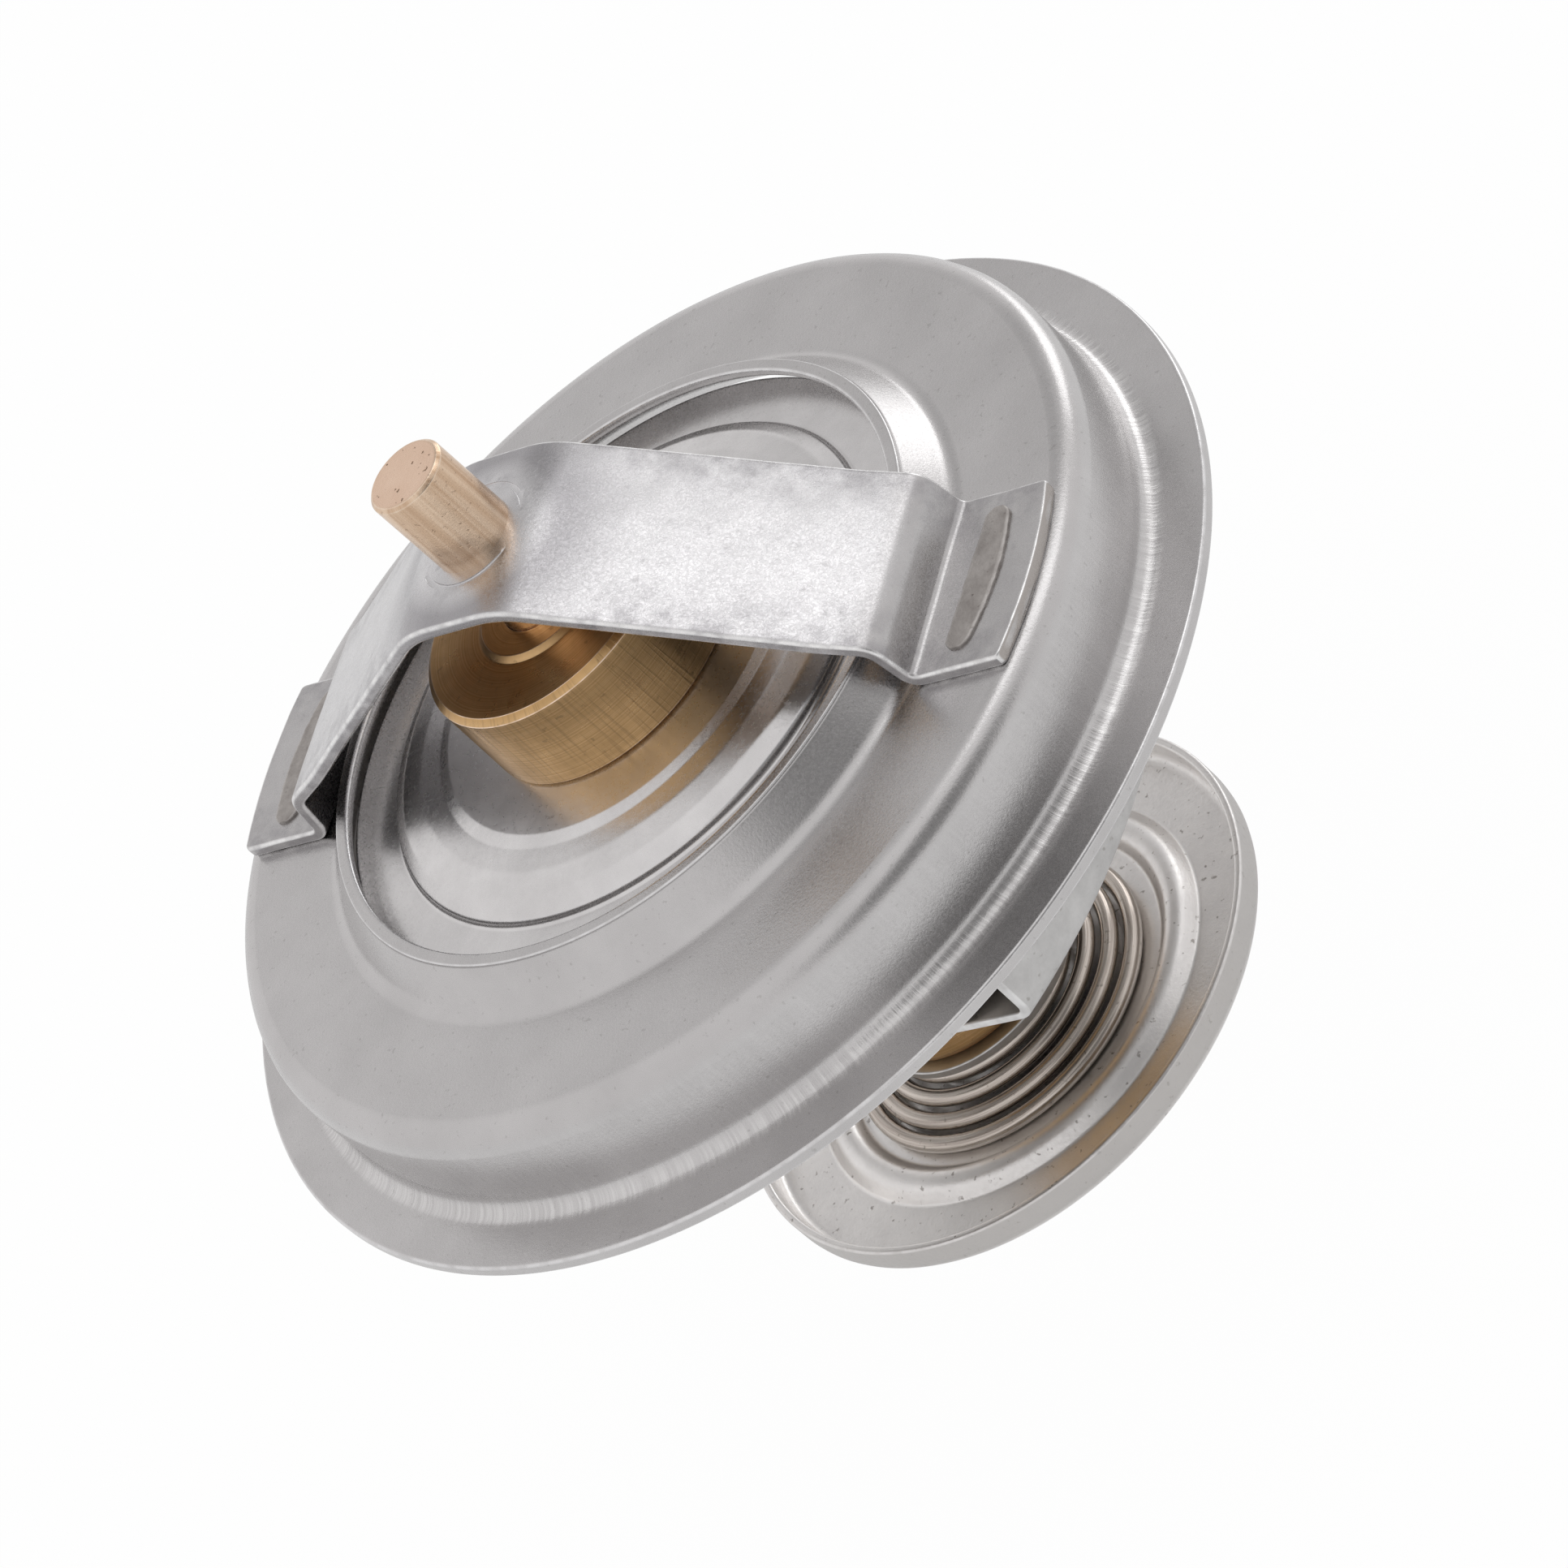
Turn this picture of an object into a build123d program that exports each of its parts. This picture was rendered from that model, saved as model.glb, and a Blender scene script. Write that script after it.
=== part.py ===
from build123d import *
from math import cos, pi, radians, sin, sqrt
import os

# Engine thermostat of the insert kind, in millimetres.  +Z is up along the
# piston pin, Z0 is the flat underside of the bypass disc, on which the part
# stands, and the bridge runs along X.

# Heights
brim_z = 36.2            # underside of the flange brim above the disc's
plateau_height = 10.15   # flange plateau above the brim's underside
lip_rise = 3.0           # seat lip above the plateau
plate_rim_rise = 0.85    # main valve's rim above the plateau
knee_rise = 4.07         # bridge's knee above its foot
hub_height = 28.85       # bridge's hub above the brim's underside
pin_rise = 7.65          # piston pin above the hub
frame_drop = 12.3        # lower frame's underside below the brim's

# Flange plate, its radii counted inwards from the brim
flange_sheet = 1.1
brim_radius = 45.0
brim_width = 5.3         # to the outside of the upright wall
plateau_width = 10.45    # on to the crease where the seat cone rises
cone_width = 2.4         # on to the outside of the seat lip
crown_bend = 2.0         # outer radius between wall and plateau
brim_bend = 1.4          # radius between brim and wall
crease_bend = 1.6
lip_upright = 0.3        # height of the lip's upright end
lip_bend = 0.4
edge_break = 0.25        # small rounding of cut sheet edges

# Bridge
bridge_sheet = 1.1
bridge_width = 15.7
hub_half = 4.4           # half length of the level hub
hub_bend = 9.0
knee_bend = 2.3
leg_lean = 1.15          # how far the leg runs outwards below the knee
foot_gap = 0.8           # leg's foot outside the flange's crease
foot_bend = 1.0
foot_inset = 1.2         # foot's curved end inside the flange's wall
foot_corner = 0.5
hub_collar_wall = 1.5    # drawn collar under the hub, round the pin
hub_collar_drop = 2.0
coin_offset = 1.25       # ring struck round the pin to lock it
coin_width = 0.5
coin_depth = 0.18

# Lower frame: its legs are round at the top and flatter at the floor's folds
frame_sheet = 0.8
frame_width = 42.0
frame_inset = 5.2        # outside of the legs' top inside the flange's wall
fold_inset = 2.9         # and of the folds inside the legs' top
fold_arc = 51.0
round_drop = 2.0         # legs are round down to this, below the brim
frame_bend = 1.4         # outer radius of the folds
frame_hole_gap = 0.4     # round the element's cup
tenon_width = 11.4
tenon_rise = 0.25        # staked head above the bridge's foot
tenon_spread = 0.45      # how far the staked head spreads each way
slot_gap = 0.05

# Piston pin
pin_radius = 3.3
pin_chamfer = 0.45
pin_engagement = 12.8    # length of pin inside the guide at rest
pin_running = 0.03
press_gap = 0.02
inner_gap = 0.05

# Cup and guide of the wax element, their radii counted outwards from the cup
cup_radius = 9.0
cup_wall = 0.9
cup_bottom = 2.5
cup_corner = 1.2
cup_base_z = 6.0
cup_flange_width = 0.6
cup_flange_sheet = 0.8
skirt_wall = 0.6
skirt_drop = 14.4        # valve plate's top to the rolled end of the skirt
roll_height = 0.8
shoulder_width = 1.25    # guide's shoulder on the valve plate
guide_taper = 0.19
guide_height = 7.8       # above the valve plate
guide_chamfer = 0.5
guide_chamfer_width = 0.83
boss_radius = 6.0
boss_top_radius = 5.5
boss_height = 0.4
diaphragm_sheet = 1.2
funnel_radius = 7.2
funnel_height = 3.6
support_sheet = 0.8

# Main valve, its radii counted inwards from the rim
plate_sheet = 1.2
plate_rise = 2.2         # rim's top to centre's top
plate_rim_width = 4.52
plate_riser = 0.6
plate_riser_lean = 0.1
plate_ledge_width = 4.2  # riser to the edge of the raised middle
plate_crown = 0.3        # how far the ledge bulges
plate_fit = 0.1
plate_edge = 0.3
seat_gap = 0.15

# Main spring
main_wire = 3.0
main_gap = 0.1           # bottom coil inside the foot of the frame's legs
main_top_inset = 2.2     # top coil's middle inside the valve's rim
main_turns = 4.0
main_flat = 0.5          # part of a turn that lies flat at each end

# Bypass stem, washer and retainer
washer_overhang = 0.6    # beyond the cup
washer_sheet = 0.8
stem_radius = 2.98
stem_depth = 2.0         # length pressed into the cup
stem_running = 0.07
stem_end_z = 0.15
head_overhang = 0.72
retainer_overhang = 1.32
retainer_sheet = 0.8

# Bypass disc
disc_sheet = 0.7
disc_radius = 23.95
disc_height = 3.3
disc_corner = 0.8        # inside radius between floor and rim
ridge_crest = 16.2
ridge_outside = 1.5      # crest to the ridge's outer foot
ridge_inside = 1.8       # and to its inner foot
ridge_height = 1.9
ridge_bend = 0.85
disc_hub_radius = 5.6
disc_hub_slope = 2.0     # width of the hub's sloping side
disc_hub_rise = 1.6
disc_bend = 0.8

# Bypass spring
bypass_wire = 1.45
bypass_top_inset = 2.25  # top coil's middle inside the washer's edge
bypass_turns = 4.0
bypass_flat_low = 0.5    # part of a turn that lies flat on the disc
bypass_flat_high = 0.15  # and under the washer
coil_start = 141.0       # direction of both springs' lower wire end, degrees

# Levels that follow
brim_top_z = brim_z + flange_sheet
plateau_z = brim_z + plateau_height
plateau_under_z = plateau_z - flange_sheet
lip_z = plateau_z + lip_rise
hub_z = brim_z + hub_height
foot_top_z = plateau_z + bridge_sheet
knee_z = foot_top_z + knee_rise
pin_top_z = hub_z + pin_rise
frame_under_z = brim_z - frame_drop
frame_floor_z = frame_under_z + frame_sheet
round_z = brim_z - round_drop
rim_z = plateau_z + plate_rim_rise
plate_top_z = rim_z + plate_rise
guide_top_z = plate_top_z + guide_height
boss_top_z = guide_top_z + boss_height
skirt_end_z = plate_top_z - skirt_drop
cup_flange_z = skirt_end_z + roll_height
diaphragm_z = cup_flange_z + cup_flange_sheet
funnel_z = diaphragm_z + diaphragm_sheet
pin_end_z = boss_top_z - pin_engagement
washer_z = cup_base_z - washer_sheet

# Radii that follow
crown_radius = brim_radius - brim_width
crease_radius = crown_radius - plateau_width
lip_radius = crease_radius - cone_width
foot_x = crease_radius + foot_gap
knee_x = foot_x - leg_lean
foot_reach = crown_radius - foot_inset
frame_radius = crown_radius - frame_inset
leg_inner = frame_radius - frame_sheet
fold_reach = frame_radius - fold_inset
coin_radius = pin_radius + coin_offset
guide_bore = pin_radius + pin_running
cup_inner = cup_radius - cup_wall
skirt_bore = cup_radius + cup_flange_width
spigot_radius = skirt_bore + skirt_wall
guide_radius = spigot_radius + shoulder_width
guide_top_radius = guide_radius - guide_taper
washer_radius = cup_radius + washer_overhang
stem_hole = stem_radius + stem_running
head_radius = stem_radius + head_overhang
retainer_radius = stem_radius + retainer_overhang
ridge_outer = ridge_crest + ridge_outside
ridge_inner = ridge_crest - ridge_inside

# Main valve's rim, level with the seat cone and a small gap inside it
cone_rise = lip_z - lip_upright - plateau_z
cone_slant = sqrt(cone_width**2 + cone_rise**2) / cone_rise
seat_radius = crease_radius - plate_rim_rise * cone_width / cone_rise
plate_radius = seat_radius - (flange_sheet + seat_gap) * cone_slant
plate_riser_radius = plate_radius - plate_rim_width
plate_ledge_radius = plate_riser_radius - plate_ledge_width
plate_hole = spigot_radius + plate_fit
os.makedirs("parts", exist_ok=True)


def bent_sheet(points, bends, thickness, side):
    """Section of a bent sheet, from the line of one face and its bends."""
    FilletPolyline(*points, radius=bends)
    offset(amount=thickness, side=side)


def tenon_arcs(inner, outer, width):
    """The two curved strips where the frame's legs pass through a plate."""
    Circle(outer)
    Circle(inner, mode=Mode.SUBTRACT)
    Rectangle(3 * outer, width, mode=Mode.INTERSECT)


def strap_outline(reach, arc_radius, width):
    """Outline across the frame's legs: an arc at each end, straight between."""
    half = width / 2
    side_x = reach - arc_radius + sqrt(arc_radius**2 - half**2)
    ThreePointArc((side_x, -half), (reach, 0), (side_x, half))
    Line((side_x, half), (-side_x, half))
    ThreePointArc((-side_x, half), (-reach, 0), (-side_x, -half))
    Line((-side_x, -half), (side_x, -half))


def eased(turn, start, blend=0.15):
    """Turns past a start, eased in so that the wire has no kink."""
    past = turn - start
    if past < -blend:
        return 0
    if past < blend:
        return (past + blend) ** 2 / (4 * blend)
    return past


def coil_points(radii, levels, turns, flats, hold):
    """Points up a tapered coil that lies flat at its ends and narrows after a hold."""
    steps_per_turn = 12
    steps = round(turns * steps_per_turn)
    pitch = (levels[1] - levels[0]) / (turns - sum(flats))
    taper = (radii[1] - radii[0]) / (turns - hold)
    points = []
    for step in range(steps + 1):
        turn = step * turns / steps
        climb = eased(turn, flats[0]) - eased(turn, turns - flats[1])
        radius = radii[0] + taper * eased(turn, hold)
        angle = radians(coil_start) + 2 * pi * turn
        points.append((radius * cos(angle), radius * sin(angle), levels[0] + pitch * climb))
    return points


def keep(piece, label):
    """Label a finished piece and write it out."""
    piece.part.label = label
    export_step(piece.part, f"parts/{label}.step")


# Flange plate: a drawn disc with a flat brim, an upright wall, a flat plateau
# and the conical collar that the main valve closes against from below.
with BuildPart() as flange_plate:
    with BuildSketch(Plane.XZ):
        with BuildLine():
            flange_face = [
                (brim_radius, brim_top_z),
                (crown_radius, brim_top_z),
                (crown_radius, plateau_z),
                (crease_radius, plateau_z),
                (lip_radius, lip_z - lip_upright),
                (lip_radius, lip_z),
            ]
            flange_bends = [brim_bend, crown_bend, crease_bend, lip_bend]
            bent_sheet(flange_face, flange_bends, flange_sheet, Side.LEFT)
        make_face()
    revolve(axis=Axis.Z)
    brim_edges = edges().filter_by(GeomType.CIRCLE).sort_by(SortBy.RADIUS)[-2:]
    fillet(brim_edges, edge_break)
    with BuildSketch(Plane.XY.offset(plateau_under_z)):
        tenon_arcs(leg_inner - slot_gap, frame_radius + slot_gap, tenon_width + 2 * slot_gap)
    extrude(amount=flange_sheet, mode=Mode.SUBTRACT)

keep(flange_plate, "flange_plate")

# Bridge: one bent strip over the valve.  Its feet lie on the plateau, where
# the frame's tenons hold them, and its hub holds the piston pin.
with BuildPart() as bridge:
    with BuildSketch(Plane.XZ):
        with BuildLine():
            strip_face = [
                (0, hub_z),
                (hub_half, hub_z),
                (knee_x, knee_z),
                (foot_x, foot_top_z),
                (foot_reach + bridge_sheet, foot_top_z),
            ]
            strip_bends = [hub_bend, knee_bend, foot_bend]
            bent_sheet(strip_face, strip_bends, bridge_sheet, Side.RIGHT)
        make_face()
    extrude(amount=bridge_width / 2, both=True)
    mirror(about=Plane.YZ)
    with BuildSketch():
        Circle(foot_reach)
        Rectangle(3 * foot_reach, bridge_width, mode=Mode.INTERSECT)
        fillet(vertices(), foot_corner)
    extrude(amount=hub_z, mode=Mode.INTERSECT)
    with BuildSketch(Plane.XY.offset(hub_z - bridge_sheet)):
        Circle(pin_radius + press_gap + hub_collar_wall)
    extrude(amount=-hub_collar_drop)
    with BuildSketch(Plane.XY.offset(hub_z)):
        Circle(pin_radius + press_gap)
    extrude(amount=-bridge_sheet - hub_collar_drop, mode=Mode.SUBTRACT)
    with BuildSketch(Plane.XZ):
        with BuildLine():
            Polyline(
                (coin_radius - coin_width / 2, hub_z),
                (coin_radius, hub_z - coin_depth),
                (coin_radius + coin_width / 2, hub_z),
                close=True,
            )
        make_face()
    revolve(axis=Axis.Z, mode=Mode.SUBTRACT)
    with BuildSketch(Plane.XY.offset(plateau_z)):
        tenon_arcs(leg_inner - slot_gap, frame_radius + slot_gap, tenon_width + 2 * slot_gap)
    extrude(amount=bridge_sheet, mode=Mode.SUBTRACT)

keep(bridge, "bridge")

# Lower frame: a wide strap drawn to a cup shape, open at two sides.  Its legs
# run from round tops to flatter folds.  It carries the main spring, and its
# tenons are staked over the bridge's feet.
with BuildPart() as lower_frame:
    leg_sections = [
        (frame_under_z, fold_reach, fold_arc),
        (round_z, frame_radius, frame_radius),
        (plateau_under_z, frame_radius, frame_radius),
    ]
    open_width = frame_width + 2 * frame_sheet
    for inset, width, mode in ((0, frame_width, Mode.ADD), (frame_sheet, open_width, Mode.SUBTRACT)):
        for level, reach, arc_radius in leg_sections:
            with BuildSketch(Plane.XY.offset(level)):
                with BuildLine():
                    strap_outline(reach - inset, arc_radius - inset, width)
                make_face()
        loft(ruled=True, mode=mode)
    with BuildSketch(Plane.XY.offset(frame_under_z)):
        with BuildLine():
            strap_outline(fold_reach - frame_sheet / 2, fold_arc - frame_sheet / 2, frame_width)
        make_face()
    extrude(amount=frame_sheet)
    for fold_z, bend in ((frame_under_z, frame_bend), (frame_floor_z, frame_bend - frame_sheet)):
        level_edges = edges().filter_by_position(Axis.Z, fold_z - inner_gap, fold_z + inner_gap)
        fillet(level_edges.filter_by(GeomType.LINE, reverse=True), bend)
    with BuildSketch(Plane.XY.offset(frame_under_z)):
        Circle(cup_radius + frame_hole_gap)
    extrude(amount=frame_sheet, mode=Mode.SUBTRACT)
    with BuildSketch(Plane.XY.offset(plateau_under_z)):
        tenon_arcs(leg_inner, frame_radius, tenon_width)
    extrude(amount=foot_top_z + tenon_rise - plateau_under_z)
    with BuildSketch(Plane.XY.offset(foot_top_z)):
        tenon_arcs(leg_inner - tenon_spread, frame_radius + tenon_spread, tenon_width + 2 * tenon_spread)
    extrude(amount=tenon_rise)

keep(lower_frame, "lower_frame")

# Piston pin: pressed into the hub.  The element climbs down it as it heats.
with BuildPart() as piston_pin:
    with BuildSketch(Plane.XY.offset(pin_end_z)):
        Circle(pin_radius)
    extrude(amount=pin_top_z - pin_end_z)
    chamfer(edges().filter_by(GeomType.CIRCLE), pin_chamfer)

keep(piston_pin, "piston_pin")

# Guide: the turned brass top of the element.  Its shoulder sits on the valve
# plate, its bore takes the pin, and its skirt is rolled under the cup.
with BuildPart() as element_guide:
    with BuildSketch(Plane.XZ):
        with BuildLine():
            Polyline(
                (guide_bore, boss_top_z),
                (boss_top_radius, boss_top_z),
                (boss_radius, guide_top_z),
                (guide_top_radius - guide_chamfer_width, guide_top_z),
                (guide_top_radius, guide_top_z - guide_chamfer),
                (guide_radius, plate_top_z),
                (spigot_radius, plate_top_z),
                (spigot_radius, skirt_end_z),
                (cup_radius + inner_gap, skirt_end_z),
                (cup_radius + inner_gap, cup_flange_z),
                (skirt_bore, cup_flange_z),
                (skirt_bore, funnel_z),
                (funnel_radius, funnel_z),
                (guide_bore, funnel_z + funnel_height),
                close=True,
            )
        make_face()
    revolve(axis=Axis.Z)
    roll_edge = edges().filter_by(GeomType.CIRCLE).group_by(Axis.Z)[0].sort_by(SortBy.RADIUS)[-1]
    fillet(roll_edge, skirt_wall)

keep(element_guide, "element_guide")

# Cup: drawn brass, filled with wax, its flange held in the guide's skirt.
with BuildPart() as element_cup:
    with BuildSketch(Plane.XZ):
        with BuildLine():
            stem_seat_z = cup_base_z + stem_depth
            stem_seat_radius = stem_radius + press_gap
            Polyline(
                (stem_seat_radius, cup_base_z),
                (cup_radius, cup_base_z),
                (cup_radius, cup_flange_z),
                (skirt_bore - inner_gap, cup_flange_z),
                (skirt_bore - inner_gap, diaphragm_z),
                (cup_inner, diaphragm_z),
                (cup_inner, cup_base_z + cup_bottom),
                (0, cup_base_z + cup_bottom),
                (0, stem_seat_z),
                (stem_seat_radius, stem_seat_z),
                close=True,
            )
        make_face()
    revolve(axis=Axis.Z)
    base_edge = edges().filter_by(GeomType.CIRCLE).group_by(Axis.Z)[0].sort_by(SortBy.RADIUS)[-1]
    fillet(base_edge, cup_corner)

keep(element_cup, "element_cup")

# Wax charge: fills the cup up to the diaphragm.
with BuildPart() as wax_charge:
    with BuildSketch(Plane.XY.offset(cup_base_z + cup_bottom)):
        Circle(cup_inner - inner_gap)
    extrude(amount=diaphragm_z - cup_base_z - cup_bottom)

keep(wax_charge, "wax_charge")

# Diaphragm: a rubber disc clamped between the cup's flange and the guide.
with BuildPart() as diaphragm:
    with BuildSketch(Plane.XY.offset(diaphragm_z)):
        Circle(skirt_bore - inner_gap)
    extrude(amount=diaphragm_sheet)

keep(diaphragm, "diaphragm")

# Rubber plug: squeezed up the funnel by the wax, it pushes on the pin.
with BuildPart() as rubber_plug:
    with BuildSketch(Plane.XZ):
        with BuildLine():
            plug_radius = guide_bore - inner_gap
            Polyline(
                (0, funnel_z),
                (funnel_radius - 2 * inner_gap, funnel_z),
                (plug_radius, funnel_z + funnel_height - inner_gap),
                (plug_radius, pin_end_z - support_sheet),
                (0, pin_end_z - support_sheet),
                close=True,
            )
        make_face()
    revolve(axis=Axis.Z)

keep(rubber_plug, "rubber_plug")

# Support disc: keeps the rubber from creeping up round the pin.
with BuildPart() as support_disc:
    with BuildSketch(Plane.XY.offset(pin_end_z - support_sheet)):
        Circle(guide_bore - inner_gap)
    extrude(amount=support_sheet)

keep(support_disc, "support_disc")

# Main valve plate: a pressed plate, raised in the middle, whose rim closes
# against the inside of the flange's collar.
with BuildPart() as main_valve_plate:
    with BuildSketch(Plane.XZ):
        with BuildLine():
            ledge_start = (plate_riser_radius - plate_riser_lean, rim_z + plate_riser)
            ledge_end = (plate_ledge_radius, plate_top_z)
            under_step = plate_riser_radius - plate_sheet
            Polyline(
                ledge_start,
                (plate_riser_radius, rim_z),
                (plate_radius, rim_z),
                (plate_radius, rim_z - plate_sheet),
                (under_step, rim_z - plate_sheet),
                (plate_ledge_radius, plate_top_z - plate_sheet),
                (plate_hole, plate_top_z - plate_sheet),
                (plate_hole, plate_top_z),
                ledge_end,
            )
            SagittaArc(ledge_start, ledge_end, plate_crown)
        make_face()
    revolve(axis=Axis.Z)
    rim_edges = edges().filter_by(GeomType.CIRCLE).sort_by(SortBy.RADIUS)[-2:]
    fillet(rim_edges, plate_edge)

keep(main_valve_plate, "main_valve_plate")

# Main spring: tapered, wide at the frame's floor and narrow under the plate.
with BuildPart() as main_spring:
    with BuildLine() as main_path:
        main_bottom_radius = fold_reach - frame_sheet - main_gap - main_wire / 2
        main_radii = (main_bottom_radius, plate_radius - main_top_inset)
        main_levels = (frame_floor_z + main_wire / 2, rim_z - plate_sheet - main_wire / 2)
        Spline(*coil_points(main_radii, main_levels, main_turns, (main_flat, main_flat), main_flat))
    with BuildSketch(Plane(main_path.line @ 0, z_dir=main_path.line % 0)):
        Circle(main_wire / 2)
    sweep()

keep(main_spring, "main_spring")

# Spring seat washer: flat steel, under the cup.
with BuildPart() as spring_seat_washer:
    with BuildSketch(Plane.XY.offset(washer_z)):
        Circle(washer_radius)
        Circle(stem_hole, mode=Mode.SUBTRACT)
    extrude(amount=washer_sheet)

keep(spring_seat_washer, "spring_seat_washer")

# Bypass stem: pressed into the cup's base, its lower end headed over under
# the retainer, inside the hollow of the disc's hub.
with BuildPart() as bypass_stem:
    retainer_top_z = disc_hub_rise - inner_gap
    head_top_z = retainer_top_z - retainer_sheet
    with BuildSketch(Plane.XY.offset(stem_end_z)):
        Circle(stem_radius)
    extrude(amount=cup_base_z + stem_depth - stem_end_z)
    with BuildSketch(Plane.XY.offset(stem_end_z)):
        Circle(head_radius)
    extrude(amount=head_top_z - stem_end_z)
    head_edge = edges().filter_by(GeomType.CIRCLE).group_by(Axis.Z)[0]
    fillet(head_edge, (head_top_z - stem_end_z) / 2)

keep(bypass_stem, "bypass_stem")

# Stem retainer: a flat washer held by the stem's head.
with BuildPart() as stem_retainer:
    with BuildSketch(Plane.XY.offset(head_top_z)):
        Circle(retainer_radius)
        Circle(stem_radius + inner_gap, mode=Mode.SUBTRACT)
    extrude(amount=retainer_sheet)

keep(stem_retainer, "stem_retainer")

# Bypass disc: a pressed dish with a rim, a round ridge that keeps the spring
# in place, and a raised hub that slides on the stem.
with BuildPart() as bypass_disc:
    with BuildSketch(Plane.XZ):
        with BuildLine():
            rim_inner = disc_radius - disc_sheet
            ridge_top_z = disc_sheet + ridge_height
            hub_top_z = disc_sheet + disc_hub_rise
            disc_face = [
                (rim_inner, disc_height),
                (rim_inner, disc_sheet),
                (ridge_outer, disc_sheet),
                (ridge_crest, ridge_top_z),
                (ridge_inner, disc_sheet),
                (disc_hub_radius + disc_hub_slope, disc_sheet),
                (disc_hub_radius, hub_top_z),
                (stem_hole, hub_top_z),
            ]
            disc_bends = [disc_corner, disc_bend, ridge_bend, disc_bend, disc_bend, disc_bend]
            bent_sheet(disc_face, disc_bends, disc_sheet, Side.LEFT)
        make_face()
    revolve(axis=Axis.Z)
    top_edges = edges().filter_by(GeomType.CIRCLE).filter_by_position(
        Axis.Z, disc_height - press_gap, disc_height + press_gap
    )
    fillet(top_edges, edge_break)

keep(bypass_disc, "bypass_disc")

# Bypass spring: a flat spiral cone that telescopes as the disc is pushed up.
with BuildPart() as bypass_spring:
    with BuildLine() as bypass_path:
        bypass_radii = (ridge_inner - bypass_wire / 2, washer_radius - bypass_top_inset)
        bypass_levels = (disc_sheet + bypass_wire / 2, washer_z - bypass_wire / 2)
        bypass_flats = (bypass_flat_low, bypass_flat_high)
        Spline(*coil_points(bypass_radii, bypass_levels, bypass_turns, bypass_flats, 0))
    with BuildSketch(Plane(bypass_path.line @ 0, z_dir=bypass_path.line % 0)):
        Circle(bypass_wire / 2)
    sweep()

keep(bypass_spring, "bypass_spring")
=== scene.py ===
from math import ceil, cos, pi, radians, sin, sqrt, tan

import bmesh
import bpy
from mathutils import Matrix, Vector, noise


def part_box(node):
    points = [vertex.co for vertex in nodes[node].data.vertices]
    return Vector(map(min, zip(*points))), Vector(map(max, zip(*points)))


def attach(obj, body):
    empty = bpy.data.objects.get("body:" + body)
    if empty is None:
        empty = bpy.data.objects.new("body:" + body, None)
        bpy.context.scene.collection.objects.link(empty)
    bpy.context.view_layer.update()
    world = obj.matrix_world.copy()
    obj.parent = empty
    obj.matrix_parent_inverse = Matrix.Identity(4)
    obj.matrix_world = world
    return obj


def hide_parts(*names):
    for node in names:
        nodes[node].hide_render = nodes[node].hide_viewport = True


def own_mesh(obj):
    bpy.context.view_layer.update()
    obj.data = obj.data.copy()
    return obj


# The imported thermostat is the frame: its bodies, its CAD nodes and their sizes.
# Metres are Blender's unit, and each section works in millimetres.
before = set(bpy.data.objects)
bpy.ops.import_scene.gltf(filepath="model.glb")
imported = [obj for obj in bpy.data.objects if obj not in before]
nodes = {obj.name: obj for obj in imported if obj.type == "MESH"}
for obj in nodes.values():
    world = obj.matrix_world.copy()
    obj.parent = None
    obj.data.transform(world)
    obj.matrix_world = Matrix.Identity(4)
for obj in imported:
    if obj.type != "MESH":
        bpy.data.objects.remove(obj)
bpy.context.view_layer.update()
mm = 0.001
main_collection = bpy.context.scene.collection

# Camera: a long lens above the bridge.  The part was pictured lying on its rim
# and stands upright here, so the camera is rolled to give the same picture.
view_from = Vector((313.96, -252.90, 305.58)) * mm
view_at = Vector((2.99, -0.72, 32.13)) * mm
view_roll = radians(48.72)
camera_data = bpy.data.cameras.new("camera")
camera_data.lens = 149.07
camera_data.sensor_width = 36.0
camera_data.clip_start = 0.02
camera_data.clip_end = 20.0
camera = bpy.data.objects.new("camera", camera_data)
look = (view_at - view_from).to_track_quat("-Z", "Y").to_matrix().to_4x4()
camera.matrix_world = Matrix.Translation(view_from) @ look @ Matrix.Rotation(-view_roll, 4, "Z")
main_collection.objects.link(camera)
bpy.context.scene.camera = camera

# Studio: large soft lamps, placed by the picture's own right, up and back, and
# a pale room round them that the metal reflects.  The room is dimmer round the
# camera and beside the top lamp, and that gives the metal its greys.
picture_axes = camera.matrix_world.to_3x3().copy()
part_centre = Vector((0, 0, 37)) * mm


def lamp(name, place, size, power):
    """A soft lamp, placed right, up and towards the camera from the part, level in the picture."""
    data = bpy.data.lights.new(name, "AREA")
    data.shape = "RECTANGLE"
    data.size, data.size_y = size
    data.energy = power
    holder = bpy.data.objects.new(name, data)
    spot = part_centre + picture_axes @ Vector(place)
    away = (spot - part_centre).normalized()
    across = (picture_axes.col[0] - away * away.dot(picture_axes.col[0])).normalized()
    turn = Matrix((across, away.cross(across), away)).transposed()
    holder.matrix_world = Matrix.Translation(spot) @ turn.to_4x4()
    main_collection.objects.link(holder)


lamp("lamp_top", place=(-0.2, 0.9, 0.36), size=(0.6, 0.36), power=0.6)
lamp("lamp_back", place=(0.15, 0.85, -0.42), size=(0.3, 0.6), power=0.7)


def add(tree, kind, settings=None, **sockets):
    """Adds a node; each socket gets a plain value, or is fed by another socket."""
    node = tree.nodes.new(kind)
    for name, value in (settings or {}).items():
        setattr(node, name, value)
    for name, value in sockets.items():
        socket = node.inputs[name.replace("_", " ")]
        if isinstance(value, bpy.types.NodeSocket):
            tree.links.new(value, socket)
        else:
            socket.default_value = value
    return node


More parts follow.
